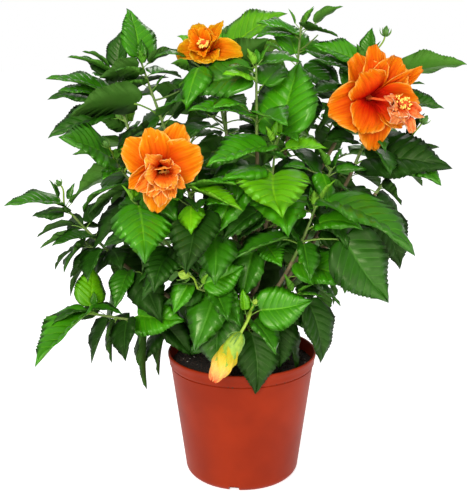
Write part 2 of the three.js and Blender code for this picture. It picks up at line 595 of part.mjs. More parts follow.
// A leaf is kept where its spare form crosses nothing; it may touch only the stem that it grows from.
function tryLeaf(shoot, stemKind, curve, share, wanted, seed) {
  const random = randomFrom(seed);
  for (let attempt = 0; attempt < leaves.tries; attempt += 1) {
    const change = attempt / leaves.tries;
    const leaf = placeLeaf({
      ...wanted,
      root: curve.getPoint(Math.min(0.99, Math.max(0.02, share + (random() - 0.5) * 0.16 * change))),
      heading: wanted.heading + (random() - 0.5) * 70 * change,
      dip: wanted.dip + (random() - 0.5) * 60 * change,
      length: wanted.length * (1 - 0.35 * change * random()),
    });
    const spare = leaves.margin / 2;
    const whole = trianglesOf(leafMesh(leaf, spare));
    const blade = trianglesOf(leafMesh({ ...leaf, root: leaf.root.clone().lerp(leaf.base, 0.6) }, spare));
    const own = ({ owner, kind }) => owner === shoot && kind === stemKind;
    const free = obstacles.every((other) => !crosses(own(other) ? blade : whole, other.set));
    if (free && whole.box.min.z > leaves.lowest) {
      block(shoot, 'leaf', leafMesh(leaf));
      masses.get(shoot).push(solidOf(leafMesh(leaf)));
      return;
    }
  }
}

shoots.forEach(({ name, set }, k) => {
  set.forEach(([share, heading, dip, length, roll, form, reach], i) => {
    const petiole = reach ?? length * (dip > 50 ? 0.36 : 0.16);
    const wanted = { heading, dip, length, roll, form, petiole };
    tryLeaf(name, 'stem', curves.get(name), share, wanted, 900 + k * 131 + i * 17);
  });
});

// Leaves along a stem or twig by the spiral; the heading is pulled outwards, and older leaves droop more.
function growLeaves(shoot, stemKind, curve, fromShare, count, turn, size, seed) {
  for (let i = 0; i < count; i += 1) {
    const age = 1 - (i + 0.5) / count;
    const random = randomFrom(seed + i * 37);
    random();
    const share = mix(fromShare, 0.98, (i + 0.4) / count);
    const root = curve.getPoint(share);
    const spiral = compass(turn + i * leaves.turn);
    const outward = vec(root.x, root.y, 0).divideScalar(200);
    const aim = spiral.addScaledVector(outward, leaves.outward);
    tryLeaf(shoot, stemKind, curve, share, {
      heading: Math.atan2(aim.y, aim.x) / degrees,
      dip: mix(-15, 58, age) + (450 - root.z) * 0.08 + (random() - 0.5) * 24,
      length: size * Math.min(1, 0.5 + 1.1 * age) * (0.86 + 0.28 * random()),
      roll: (random() - 0.5) * 50,
      form: Math.floor(random() * leaves.dealtForms),
      free: true,
    }, seed + i * 53 + 7);
  }
}

shoots.forEach(({ name, bare, leaves: count, turn, size, twigs: side }, k) => {
  const curve = curves.get(name);
  const seed = 4000 + k * 977;
  side.forEach(([share, heading, rise, length, twigLeaves], i) => {
    const root = curve.getPoint(share);
    const end = root.clone().addScaledVector(compass(heading, rise), length);
    const middle = root.clone().lerp(end, 0.5).add(vec(0, 0, -0.08 * length));
    const line = new THREE.QuadraticBezierCurve3(root, middle, end);
    const spareSet = trianglesOf(run(line, 0.15, 1, twigs, 0.8));
    if (obstacles.some(({ set }) => crosses(spareSet, set))) return;
    block(name, 'twig' + i, run(line, 0, 1, twigs, 0.8));
    masses.get(name).push(solidOf(run(line, 0, 1, twigs)));
    growLeaves(name, 'twig' + i, line, 0.3, twigLeaves, heading + 60, size * 0.85, seed + 500 + i * 71);
  });
  growLeaves(name, 'stem', curve, bare, count, turn, size, seed);
});

for (const [name, solids] of masses) {
  parts.set('foliage_' + name, { solid: largestPiece(Manifold.union(solids)), material: 'foliage' });
}

// ---- the group ----
const shrub = new THREE.Group();
for (const [name, { solid, material }] of parts) {
  const [color, roughness] = materials[material];
  const finish = new THREE.MeshStandardMaterial({ color, roughness, metalness: 0 });
  const mesh = new THREE.Mesh(geometryOf(solid), finish);
  mesh.name = name;
  shrub.add(mesh);
}

export default shrub;
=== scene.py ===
import json
import math
import bpy
from mathutils import Matrix, Quaternion, Vector, noise
from mathutils.bvhtree import BVHTree

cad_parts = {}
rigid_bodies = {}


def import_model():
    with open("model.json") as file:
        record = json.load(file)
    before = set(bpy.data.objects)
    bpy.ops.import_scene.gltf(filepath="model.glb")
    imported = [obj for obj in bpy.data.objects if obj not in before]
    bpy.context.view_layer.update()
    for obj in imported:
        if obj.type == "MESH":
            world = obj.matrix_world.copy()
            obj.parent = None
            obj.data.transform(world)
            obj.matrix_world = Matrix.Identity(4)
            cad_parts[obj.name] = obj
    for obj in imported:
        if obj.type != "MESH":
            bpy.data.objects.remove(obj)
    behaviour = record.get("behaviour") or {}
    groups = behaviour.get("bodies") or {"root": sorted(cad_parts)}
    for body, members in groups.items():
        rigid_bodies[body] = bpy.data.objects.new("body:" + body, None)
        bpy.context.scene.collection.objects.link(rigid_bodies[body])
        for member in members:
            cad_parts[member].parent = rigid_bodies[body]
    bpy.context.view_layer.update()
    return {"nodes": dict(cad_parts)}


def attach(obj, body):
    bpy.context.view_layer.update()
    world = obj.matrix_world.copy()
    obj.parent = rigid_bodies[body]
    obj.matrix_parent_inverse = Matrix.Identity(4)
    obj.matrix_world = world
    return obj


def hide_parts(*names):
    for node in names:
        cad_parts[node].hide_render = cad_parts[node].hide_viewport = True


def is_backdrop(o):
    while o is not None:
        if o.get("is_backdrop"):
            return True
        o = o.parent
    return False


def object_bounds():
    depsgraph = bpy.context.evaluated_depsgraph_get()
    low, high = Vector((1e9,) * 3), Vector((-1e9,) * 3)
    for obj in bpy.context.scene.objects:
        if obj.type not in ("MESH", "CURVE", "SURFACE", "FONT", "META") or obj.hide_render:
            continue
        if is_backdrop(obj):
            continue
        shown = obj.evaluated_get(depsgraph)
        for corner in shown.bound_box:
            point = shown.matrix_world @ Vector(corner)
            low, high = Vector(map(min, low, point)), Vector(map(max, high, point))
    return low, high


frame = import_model()
scene = bpy.context.scene
metre = 0.001  # the shrub is grown in millimetres, as its frame was
print("frame loaded")

# pieces


def meshOf(name, points, faces, smooth=True, scale=metre):
    mesh = bpy.data.meshes.new(name)
    mesh.from_pydata([tuple(p * scale for p in point) for point in points], [], faces)
    mesh.polygons.foreach_set("use_smooth", [smooth] * len(mesh.polygons))
    mesh.update()
    return mesh


def pieceOf(name, mesh, slot=None, nodes=()):
    piece = bpy.data.objects.new(name, mesh)
    scene.collection.objects.link(piece)
    if slot:
        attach(piece, "root")
        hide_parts(*nodes)
    return piece


# A node tree with a geometry input, and named inputs for what it may be given.
def newTree(name, inputs):
    tree = bpy.data.node_groups.new(name, "GeometryNodeTree")
    tree.interface.new_socket(name="Geometry", in_out="INPUT", socket_type="NodeSocketGeometry")
    sockets = {}
    for label, kind in inputs.items():
        socket = tree.interface.new_socket(name=label, in_out="INPUT", socket_type="NodeSocket" + kind)
        sockets[label] = socket.identifier
    tree.interface.new_socket(name="Geometry", in_out="OUTPUT", socket_type="NodeSocketGeometry")
    return tree, sockets, tree.nodes.new("NodeGroupInput"), tree.nodes.new("NodeGroupOutput")


def give(tree, socket, value):
    if isinstance(value, bpy.types.NodeSocket):
        tree.links.new(value, socket)
    else:
        socket.default_value = value


# Inputs are named as on the node, in camelCase; the output of another node is linked, anything else is the value.
def setInputs(tree, node, **sources):
    for key, value in sources.items():
        title = key[0].upper() + key[1:]
        give(tree, next(s for s in node.inputs if s.enabled and s.name.replace(" ", "") == title), value)


def addNode(tree, kind, settings=None, **sources):
    node = tree.nodes.new(kind)
    for key, value in (settings or {}).items():
        setattr(node, key, value)
    setInputs(tree, node, **sources)
    return node


# The inputs of a math node share one name, so they are given in their order.
def addMath(tree, operation, *values):
    node = addNode(tree, "ShaderNodeMath", {"operation": operation})
    for socket, value in zip(node.inputs, values):
        give(tree, socket, value)
    return node.outputs["Value"]


fullTurn = 6.28  # the reach of a turn or phase that is left to chance


# A turn by chance about all three axes, for each instance.
def anyTurn(tree, seed):
    turns = addNode(tree, "FunctionNodeRandomValue", {"data_type": "FLOAT_VECTOR"}, min=(0, 0, 0),
                    max=(fullTurn, fullTurn, fullTurn), seed=seed)
    return addNode(tree, "FunctionNodeEulerToRotation", None, euler=turns.outputs[0]).outputs["Rotation"]


def attribute(tree, name, kind="FLOAT"):
    node = tree.nodes.new("GeometryNodeInputNamedAttribute")
    node.data_type = kind
    node.inputs["Name"].default_value = name
    return next(s for s in node.outputs if s.enabled and s.name == "Attribute")


# Realize Instances, and one Set Material for each value of a face's finish.
def finishTree(tree, geometry, output, finishes, value):
    flow = addNode(tree, "GeometryNodeRealizeInstances", geometry=geometry).outputs["Geometry"]
    for k, finish in enumerate(finishes):
        chosen = addNode(tree, "FunctionNodeCompare", {"data_type": "INT", "operation": "EQUAL"}, a=value, b=k)
        flow = addNode(tree, "GeometryNodeSetMaterial", None, geometry=flow, selection=chosen.outputs["Result"],
                       material=finish).outputs["Geometry"]
    tree.links.new(flow, output.inputs["Geometry"])


def grownFrom(name, mesh, tree, sockets, values):
    seed = bpy.data.objects.new(name + "Seed", mesh)
    scene.collection.objects.link(seed)
    modifier = seed.modifiers.new("grow", "NODES")
    modifier.node_group = tree
    for label, value in values.items():
        modifier[sockets[label]] = value
    depsgraph = bpy.context.evaluated_depsgraph_get()
    made = bpy.data.meshes.new_from_object(seed.evaluated_get(depsgraph), depsgraph=depsgraph)
    made.name = name
    seed.modifiers.remove(modifier)
    bpy.data.objects.remove(seed)
    return made


def setValues(mesh, name, kind, values, domain="POINT"):
    layer = mesh.attributes.new(name, kind, domain)
    layer.data.foreach_set("vector" if kind == "FLOAT_VECTOR" else "value", values)


def mapPlaces(mesh, places):
    layer = mesh.uv_layers.new(name="UVMap")
    for loop in mesh.loops:
        layer.data[loop.index].uv = places[loop.vertex_index]


# materials

patchEdges = (0.36, 0.64)  # where the first colour of a finish gives way to the second


# A colour code in linear light; a colour that is blended already stays as it is.
def linear(code):
    if isinstance(code, tuple):
        return code
    parts = [int(code[k:k + 2], 16) / 255 for k in (0, 2, 4)]
    return tuple(p / 12.92 if p <= 0.04045 else ((p + 0.055) / 1.055) ** 2.4 for p in parts) + (1,)


def blended(one, other, share):
    return tuple(a + (b - a) * share for a, b in zip(linear(one), linear(other)))


def newFinish(name):
    made = bpy.data.materials.new(name)
    made.use_nodes = True
    return made, made.node_tree, made.node_tree.nodes["Principled BSDF"]


# Two near colours in soft patches, a roughness that varies with them, and fine relief, all in the object's own space.
def surface(name, first, second, patch=40, roughness=(0.4, 0.5), relief=0.0, grain=400, stretch=(1, 1, 1), level=0.5,
            depth=0.0004, sheen=(1, 1, 1)):
    made, tree, shader = newFinish(name)
    place = tree.nodes.new("ShaderNodeTexCoord").outputs["Object"]
    stretched = addNode(tree, "ShaderNodeMapping", None, vector=place, scale=stretch).outputs["Vector"]
    patches = addNode(tree, "ShaderNodeTexNoise", None, vector=stretched, scale=patch, detail=3).outputs["Fac"]
    colours = addNode(tree, "ShaderNodeValToRGB", None, fac=patches)
    for stop, position, colour in zip(colours.color_ramp.elements, patchEdges, (first, second)):
        stop.position, stop.color = position, linear(colour)
    rough = addNode(tree, "ShaderNodeMapRange", None, value=patches, toMin=roughness[0], toMax=roughness[1])
    setInputs(tree, shader, baseColor=colours.outputs["Color"], roughness=rough.outputs["Result"],
              specularIORLevel=level, specularTint=(*sheen, 1))
    if relief:
        fine = addNode(tree, "ShaderNodeTexNoise", None, vector=stretched, scale=grain, detail=4)
        bump = addNode(tree, "ShaderNodeBump", None, height=fine.outputs["Fac"], strength=relief, distance=depth)
        setInputs(tree, shader, normal=bump.outputs["Normal"])
    return made


# studio: camera, lights, world and floor

studio = {
    "cameraAt": (0, -1.030, 0.5356), "pitchDown": 12.84, "lens": 60.65, "shiftX": -0.017,
    "floorSize": 60.0, "floorColour": (0.86, 0.86, 0.86), "floorGlow": 0.62, "worldSeen": 1.0, "worldLight": 0.5,
    "lights": [  # place, what it looks at, size, watts
        ((-0.5, -1.9, 1.25), (0, 0, 0.35), 0.8, 36),
        ((1.1, -1.5, 0.8), (0, 0, 0.3), 1.2, 10),
        ((0.3, 1.6, 1.8), (0, 0, 0.35), 1.0, 10),
    ],
}


def aimed(thing, at, target):
    thing.location = at
    thing.rotation_euler = (Vector(target) - Vector(at)).to_track_quat("-Z", "Y").to_euler()


camera = bpy.data.objects.new("camera", bpy.data.cameras.new("camera"))
camera.location = studio["cameraAt"]
camera.rotation_euler = (math.radians(90 - studio["pitchDown"]), 0, 0)
camera.data.lens = studio["lens"]
camera.data.shift_x = studio["shiftX"]
camera.data.clip_end = 60
scene.collection.objects.link(camera)
scene.camera = camera

for i, (at, target, size, watts) in enumerate(studio["lights"]):
    light = bpy.data.lights.new("softbox%d" % i, "AREA")
    light.energy, light.size, light.shape = watts, size, "DISK"
    softbox = bpy.data.objects.new(light.name, light)
    aimed(softbox, at, target)
    scene.collection.objects.link(softbox)

world = bpy.data.worlds.new("studio")
world.use_nodes = True
seen = addNode(world.node_tree, "ShaderNodeLightPath").outputs["Is Camera Ray"]
strength = addNode(world.node_tree, "ShaderNodeMapRange", None, value=seen, toMin=studio["worldLight"],
                   toMax=studio["worldSeen"])
setInputs(world.node_tree, world.node_tree.nodes["Background"], color=(1, 1, 1, 1),
          strength=strength.outputs["Result"])
scene.world = world
scene.view_settings.view_transform = "Standard"

half = studio["floorSize"] / 2
floor = pieceOf("floor", meshOf("floor", [(-half, -half, 0), (half, -half, 0), (half, half, 0), (-half, half, 0)],
                                [(0, 1, 2, 3)], smooth=False, scale=1))
floorFinish, floorTree, floorShader = newFinish("paleFloor")
setInputs(floorTree, floorShader, baseColor=(*studio["floorColour"], 1), roughness=0.9, emissionColor=(1, 1, 1, 1),
          emissionStrength=studio["floorGlow"])
floor.data.materials.append(floorFinish)
floor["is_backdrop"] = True
print("studio ready")

# how the shrub grows

growth = {
    "soilTop": 152, "clearance": 0.3,
    "trunk": {"foot": (2, 4), "lean": (5, 3), "height": 62, "flare": 17, "radius": 9.5, "top": 7, "sides": 10},
    "limbs": {"root": 4.6, "tip": 2.7, "sides": 5, "reach": 34},
    "stems": {"root": 2.6, "tip": 1.6, "sides": 4, "reach": 46},
    "twigs": {"root": 1.8, "tip": 1.5, "sides": 3, "reach": 34},
    "petioleRadius": 1.15, "petioleRoot": 0.6, "petioleShare": 0.34, "petioleLeast": 9,
    "placedPetiole": 0.16, "hangingPetiole": 0.36, "hanging": 50, "petioleOut": 0.86,
    "turn": 144, "thick": 0.018, "margin": 1.6, "tries": 14, "outward": 0.55, "crown": 200, "lowest": 118,
    "tilt": 1.1,
    "dips": (-15, 58), "lowDip": 0.08, "level": 450, "dipSpread": 24, "rollSpread": 50, "dealtForms": 4,
    "stray": {"share": 0.16, "heading": 70, "dip": 60, "length": 0.35},  # what the last try may change
    "seed": 4000, "placedSeed": 900,
}

leafForms = [
    {"arch": 0.55, "fold": 0.3, "width": 0.36},
    {"arch": 0.95, "fold": 0.18, "width": 0.37},
    {"arch": 0.25, "fold": 0.48, "width": 0.35},
    {"arch": 0.75, "fold": -0.22, "width": 0.38},
    {"arch": 0.35, "fold": 0.14, "width": 0.43},  # broad and nearly flat; only placed leaves have it
]


def shoot(name, parent, at, tip, bow, bare, leaves, turn, size, placed=(), twigs=()):
    return {"name": name, "parent": parent, "at": at, "tip": tip, "bow": bow, "bare": bare, "leaves": leaves,
            "turn": turn, "size": size, "placed": placed, "twigs": twigs}


# Placed leaves are (share, heading, dip, length, roll, form, petiole).
# Twigs are (share, heading, rise, length, leaves).
shoots = [
    shoot("top", "trunk", 1, (72, 15, 580), 0.04, 0.5, 8, 20, 84,
          [(0.94, -155, -14, 54, -25, 0), (0.88, 108, -38, 62, 0, 1), (0.95, -5, -30, 38, -25, 0, 22),
           (0.99, -35, 20, 58, -15, 4, 6), (0.85, -20, 32, 52, 25, 4, 8), (0.8, -165, -30, 60, 20, 4, 24)],
          [(0.7, 60, 45, 60, 4)]),
    shoot("upper_left", "trunk", 0.8, (-120, -12, 530), 0.02, 0.5, 7, 100, 76,
          [(0.99, 125, -64, 64, 10, 4), (0.95, 46, 7, 50, 10, 0), (0.97, -165, 14, 48, 45, 4, 5),
           (0.82, -145, 8, 88, 42, 1, 38), (0.99, 12, -24, 42, -30, 0, 7)], [(0.66, 60, 40, 50, 4)]),
    shoot("upper_right", "trunk", 0.9, (172, 0, 505), 0.1, 0.5, 7, 200, 76,
          [(0.99, -22, -8, 76, -30, 0, 28), (0.9, -60, 10, 62, 5, 0), (0.9, -5, 10, 56, 35, 2, 36),
           (0.72, -22, 4, 108, 40, 1, 18)]),
    shoot("front_centre", "trunk", 0.95, (38, -80, 444), 0.08, 0.34, 8, 60, 80,
          [(0.97, 62, -56, 98, 0, 4), (0.95, -144, 11, 85, -15, 0), (0.83, -86, 19, 98, 0, 4, 16),
           (0.5, -60, 30, 40, 20, 4)]),
    shoot("back_top", "trunk", 0.85, (-25, 120, 545), 0.1, 0.5, 7, 300, 90, [(0.98, -25, -28, 90, 50, 0, 16)],
          [(0.66, 30, 40, 60, 3), (0.75, 200, 35, 55, 3)]),
    shoot("upper_left_far", "upper_left", 0.7, (-154, 0, 520), 0.14, 0.4, 7, 10, 74,
          [(0.86, -165, -14, 76, -15, 0, 18), (0.97, -155, -20, 54, -5, 0), (0.78, -150, 10, 86, -20, 0, 24)],
          [(0.66, 20, 35, 45, 3)]),
    shoot("left_mid", "upper_left", 0.5, (-150, -58, 420), 0.05, 0.4, 6, 250, 76,
          [(0.97, -128, -21, 80, -45, 4), (0.8, 161, 31, 75, -10, 1)]),
    shoot("left_far", "trunk", 0.6, (-221, -20, 362), 0.1, 0.4, 7, 35, 66,
          [(0.97, -145, -4, 70, -12, 0), (0.8, -138, 3, 56, -5, 0), (0.86, 49, -37, 50, 0, 2)],
          [(0.62, 165, 30, 95, 7)]),
    shoot("left_low", "trunk", 0.14, (-203, -52, 232), -0.04, 0.42, 8, 80, 66,
          [(0.93, 95, -50, 58, 30, 3), (0.9, -122, 24, 100, 12, 2), (0.78, -110, 78, 52, 60, 2, 12),
           (0.62, -90, 78, 72, 80, 2), (0.72, -25, -2, 68, 45, 4, 14)]),
    shoot("left_inner", "upper_left", 0.3, (-123, -82, 372), 0.08, 0.3, 8, 180, 76,
          [(0.97, -79, 34, 92, 0, 3), (0.6, -110, 38, 66, -15, 1)]),
    shoot("top_left", "top", 0.5, (-34, -32, 536), 0.05, 0.4, 7, 140, 80,
          [(0.84, -28, -16, 90, -60, 2), (0.68, 180, -38, 42, -35, 4, 26)]),
    shoot("top_front", "top", 0.35, (16, -72, 528), 0.05, 0.4, 7, 75, 74,
          [(0.98, -164, 8, 84, -40, 4, 10), (0.78, -149, -12, 88, -20, 0)]),
    shoot("top_right", "top", 0.7, (150, 2, 532), 0.1, 0.4, 9, 60, 66,
          [(0.99, -165, -22, 62, -40, 0, 12), (0.92, -170, -14, 56, -30, 1, 10), (0.99, 60, -72, 34, 0, 2)]),
    shoot("right_far", "upper_right", 0.6, (205, -4, 438), 0.1, 0.4, 7, 120, 62,
          [(0.82, -50, 14, 70, 22, 1), (0.96, 20, -60, 36, 0, 2)]),
    shoot("right_mid", "upper_right", 0.45, (106, -44, 408), 0.04, 0.4, 7, 215, 66),
    shoot("right_low", "trunk", 0.7, (86, -92, 376), 0.08, 0.34, 7, 330, 76,
          [(0.97, -35, 24, 122, 4, 1), (0.76, -10, 54, 92, 58, 4, 58), (0.6, -20, 12, 80, 25, 4)],
          [(0.6, 0, 5, 62, 4)]),
    shoot("front_low", "trunk", 0.55, (6, -96, 238), 0.02, 0.36, 6, 90, 66,
          [(0.98, -6, -15, 64, 66, 4, 19), (0.62, -75, 76, 76, 0, 1), (0.45, -40, 78, 60, 0, 1)]),
    shoot("front_right_low", "trunk", 0.4, (64, -66, 256), 0, 0.36, 7, 190, 70,
          [(0.7, -80, 78, 66, 0, 1), (0.97, -45, 74, 76, 0, 1)]),
    shoot("front_left_low", "front_centre", 0.5, (-52, -96, 274), 0.04, 0.3, 9, 160, 74,
          [(0.99, 8, -22, 52, 60, 4, 9), (0.42, -93, 70, 96, 0, 1, 34)]),
    shoot("front_left", "front_centre", 0.9, (-62, -90, 388), 0.08, 0.34, 8, 200, 74,
          [(0.97, -32, 15, 66, 0, 2), (0.93, -28, -18, 62, 0, 0), (0.8, -101, 45, 84, 0, 1)]),
    shoot("back_left", "back_top", 0.5, (-160, 120, 450), 0.08, 0.4, 9, 30, 88, [], [(0.6, 200, 25, 65, 4)]),
    shoot("back_right", "back_top", 0.6, (135, 125, 470), 0.08, 0.4, 9, 150, 88, [], [(0.6, 0, 25, 65, 4)]),
    shoot("back_low_left", "trunk", 0.65, (-140, 135, 310), 0.06, 0.36, 8, 90, 82, [], [(0.6, 190, 15, 65, 4)]),
    shoot("back_low_right", "trunk", 0.75, (150, 110, 335), 0.06, 0.36, 8, 260, 82, [], [(0.6, -5, 15, 65, 4)]),
    shoot("back_centre", "back_top", 0.3, (5, 175, 385), 0.08, 0.4, 8, 0, 88, [], [(0.6, 60, 15, 60, 4)]),
]


# The same run of numbers from the same seed, from 0 to 1.
def randomFrom(seed):
    state = seed

    def draw():
        nonlocal state
        state = state * 16807 % 2147483647
        return state / 2147483647
    return draw


def mix(a, b, share):
    return a + (b - a) * share


def compass(heading, rise=0.0):
    level = math.cos(math.radians(rise))
    return Vector((math.cos(math.radians(heading)) * level, math.sin(math.radians(heading)) * level,
                   math.sin(math.radians(rise))))


class Curve:
    def __init__(self, *points):
        self.points = [Vector(p) for p in points]

    def at(self, share):
        level = self.points
        while len(level) > 1:
            level = [a.lerp(b, share) for a, b in zip(level, level[1:])]
        return level[0].copy()

    def along(self, share):
        low, high = max(0, share - 0.002), min(1, share + 0.002)
        return (self.at(high) - self.at(low)).normalized()

    def length(self):
        path = [self.at(i / 60) for i in range(61)]
        return sum((b - a).length for a, b in zip(path, path[1:]))


limbSide = (1, 0.2, 0.1)  # the direction in which every limb's first ring starts


def turnsOf(sides):
    return [2 * math.pi * k / sides for k in range(sides)]


def around(centre, side, over, turn, radius):
    return centre + side * (math.cos(turn) * radius) + over * (math.sin(turn) * radius)


# Faces from ring to ring of a tube, then its flat foot and its flat end.
def tubeFaces(rings, sides):
    faces = [(i * sides + k, i * sides + (k + 1) % sides, (i + 1) * sides + (k + 1) % sides, (i + 1) * sides + k)
             for i in range(rings - 1) for k in range(sides)]
    last = (rings - 1) * sides
    return faces + [tuple(range(sides))[::-1], tuple(range(last, last + sides))]


# A round limb along a run of points, with a radius for each and flat ends.
def limb(path, radii, sides, tangents=None):
    points, side = [], Vector(limbSide).normalized()
    for i, point in enumerate(path):
        along = tangents[i] if tangents else (path[min(i + 1, len(path) - 1)] - path[max(i - 1, 0)]).normalized()
        side = (side - along * side.dot(along)).normalized()
        over = along.cross(side)
        points += [around(point, side, over, turn, radii[i]) for turn in turnsOf(sides)]
    return points, tubeFaces(len(path), sides)


def run(curve, fromShare, toShare, size, spare=0.0):
    count = max(2, int(curve.length() * (toShare - fromShare) / size["reach"] + 0.5))
    shares = [mix(fromShare, toShare, i / count) for i in range(count + 1)]
    tangents = [curve.along(share) for share in shares]
    path = [curve.at(share) for share in shares]
    path[0] -= tangents[0] * spare
    path[-1] += tangents[-1] * spare
    radii = [mix(size["root"], size["tip"], i / count) + spare for i in range(count + 1)]
    return limb(path, radii, size["sides"], tangents)


# What is in the way: sets of faces, each with its own box.
class Obstacle:
    def __init__(self, points, faces, owner="", kind=""):
        self.tree = BVHTree.FromPolygons([tuple(p) for p in points], faces)
        self.low = [min(p[k] for p in points) for k in range(3)]
        self.high = [max(p[k] for p in points) for k in range(3)]
        self.owner, self.kind = owner, kind

    def crosses(self, other):
        if any(self.high[k] < other.low[k] or self.low[k] > other.high[k] for k in range(3)):
            return False
        return bool(self.tree.overlap(other.tree))


obstacles = []


def block(owner, kind, shape):
    obstacles.append(Obstacle(*shape, owner, kind))


def nodeShape(name):
    mesh = frame["nodes"][name].data
    return [v.co / metre for v in mesh.vertices], [tuple(p.vertices) for p in mesh.polygons]


# A place on or above a bent and folded blade: along it, aside of the midrib, and above.
def onBlade(form, length, s, aside, above):
    arch, fold = form["arch"], form["fold"]
    sin, cos = math.sin(arch * (s - 0.5)), math.cos(arch * (s - 0.5))
    rise = abs(aside) * math.sin(fold) * length + above
    x = (sin + math.sin(arch / 2)) / arch * length + sin * rise
    z = (cos - math.cos(arch / 2)) / arch * length + cos * rise
    return x, aside * math.cos(fold) * length, z


# The plain form of a leaf and its petiole, which only finds its place among the others.
def leafCage(leaf, spare=0.0, root=None):
    form, length = leafForms[leaf["form"]], leaf["length"]
    width, thickness = form["width"], length * growth["thick"] + spare * 2

    def place(s, aside, above):
        x, y, z = onBlade(form, length, s, aside, above)
        return leaf["base"] + leaf["along"] * x + leaf["side"] * y + leaf["up"] * z

    base, root = leaf["base"], root or leaf["root"]
    radius, rootRadius = growth["petioleRadius"] + spare * 0.4, growth["petioleRoot"] + spare * 0.4
    over = (base - root).cross(leaf["level"]).normalized()
    points = [base + leaf["side"] * radius, base - leaf["side"] * radius, base - leaf["up"] * radius,
              root + leaf["level"] * rootRadius, root - leaf["level"] * rootRadius, root - over * rootRadius]
    outline = [(0.1, 0.8), (0.36, 1), (0.7, 0.6)]
    points += [place(s, w * width, 0) for s, w in outline] + [place(s, -w * width, 0) for s, w in outline]
    points += [place(s, 0, thickness / 2) for s in (0.38, 0.7)] + [place(s, 0, -thickness / 2) for s in (0.38, 0.7)]
    points.append(place(1, 0, 0))
    return points, [
        (0, 1, 12), (0, 12, 6), (6, 12, 7), (12, 13, 7), (7, 13, 8), (13, 16, 8), (1, 9, 12), (9, 10, 12), (12, 10, 13),
        (10, 11, 13), (13, 11, 16), (0, 6, 2), (2, 6, 14), (6, 7, 14), (14, 7, 15), (7, 8, 15), (15, 8, 16), (9, 1, 2),
        (2, 14, 9), (9, 14, 10), (14, 15, 10), (15, 11, 10), (15, 16, 11), (1, 0, 3), (1, 3, 4), (0, 2, 5), (0, 5, 3),
        (2, 1, 4), (2, 4, 5), (3, 5, 4)]


# Where a leaf sits: its petiole leaves the stem at the root and rises, and its blade points along heading and dip.
def placeLeaf(root, heading, dip, length, roll, form, petiole=None, free=False):
    level = compass(heading + 90)
    reach = max(growth["petioleLeast"], length * growth["petioleShare"] if petiole is None else petiole)
    base = root + compass(heading) * (reach * growth["petioleOut"]) + Vector((0, 0, reach * (0.5 - dip / 130)))
    along = compass(heading, -dip)
    up = along.cross(level).normalized()
    toLight = Vector((root.x, root.y, 0)) * (growth["tilt"] / growth["crown"])
    if toLight.length > growth["tilt"]:
        toLight *= growth["tilt"] / toLight.length
    toLight.z += 1
    turned = math.atan2(-toLight.dot(level), toLight.dot(up)) if free else 0
    rolled = Quaternion(along, turned + math.radians(roll))
    return {"root": root, "base": base, "level": level, "along": along, "side": rolled @ level, "up": rolled @ up,
            "length": length, "form": form}


grown = []


# A leaf is kept where its spare form crosses nothing; it may touch only the stem that it grows from.
def tryLeaf(owner, stemKind, curve, share, wanted, seed, kind):
    random, stray = randomFrom(seed), growth["stray"]
    for attempt in range(growth["tries"]):
        change = attempt / growth["tries"]
        root = curve.at(min(0.99, max(0.02, share + (random() - 0.5) * stray["share"] * change)))
        leaf = placeLeaf(**{**wanted, "root": root,
                            "heading": wanted["heading"] + (random() - 0.5) * stray["heading"] * change,
                            "dip": wanted["dip"] + (random() - 0.5) * stray["dip"] * change,
                            "length": wanted["length"] * (1 - stray["length"] * change * random())})
        spare = growth["margin"] / 2
        whole = Obstacle(*leafCage(leaf, spare))
        blade = Obstacle(*leafCage(leaf, spare, leaf["root"].lerp(leaf["base"], 0.6)))
        if whole.low[2] <= growth["lowest"]:
            continue
        if any((blade if o.owner == owner and o.kind == stemKind else whole).crosses(o) for o in obstacles):
            continue
        block(owner, "leaf", leafCage(leaf))
        leaf.update(owner=owner, share=share, kind=kind)
        grown.append(leaf)
        return leaf
    return None


# Leaves along a stem or twig by the spiral; the heading is pulled outwards, and older leaves droop more.
def growLeaves(owner, stemKind, curve, fromShare, count, turn, size, seed, kind="leaf"):
    for i in range(count):
        age = 1 - (i + 0.5) / count
        random = randomFrom(seed + i * 37)
        random()
        share = mix(fromShare, 0.98, (i + 0.4) / count)
        root = curve.at(share)
        aim = compass(turn + i * growth["turn"]) + Vector((root.x, root.y, 0)) / growth["crown"] * growth["outward"]
        dip = mix(*growth["dips"], age) + (growth["level"] - root.z) * growth["lowDip"]
        dip += (random() - 0.5) * growth["dipSpread"]
        length = size * min(1, 0.5 + 1.1 * age) * (0.86 + 0.28 * random())
        roll = (random() - 0.5) * growth["rollSpread"]
        form = int(random() * growth["dealtForms"])
        tryLeaf(owner, stemKind, curve, share, {
            "heading": math.degrees(math.atan2(aim.y, aim.x)), "dip": dip, "length": length, "roll": roll,
            "form": form, "free": True}, seed + i * 53 + 7, kind)


soilTop, limbSize, stemSize, twigSize = growth["soilTop"], growth["limbs"], growth["stems"], growth["twigs"]
trunkFoot = Vector((*growth["trunk"]["foot"], soilTop + growth["clearance"]))
trunkHeight = growth["trunk"]["height"]
curves = {"trunk": Curve(trunkFoot, trunkFoot + Vector((0, 0, trunkHeight / 2)),
                         trunkFoot + Vector((*growth["trunk"]["lean"], trunkHeight)))}
bareOf = {s["name"]: s["bare"] for s in shoots}


def trunkRadius(share):
    size = growth["trunk"]
    return mix(size["radius"], size["top"], share) + (size["flare"] - size["radius"]) * (1 - share) ** 14


def shootCurve(s):
    start = curves[s["parent"]].at(s["at"] if s["parent"] == "trunk" else s["at"] * bareOf[s["parent"]])
    end = Vector(s["tip"])
    away = end - start
    belly = away.cross(Vector((0, 0, 1))).cross(away).normalized() * (-s["bow"] * away.length)
    return Curve(start, start.lerp(end, 0.25) + belly, start.lerp(end, 0.65) + belly, end)


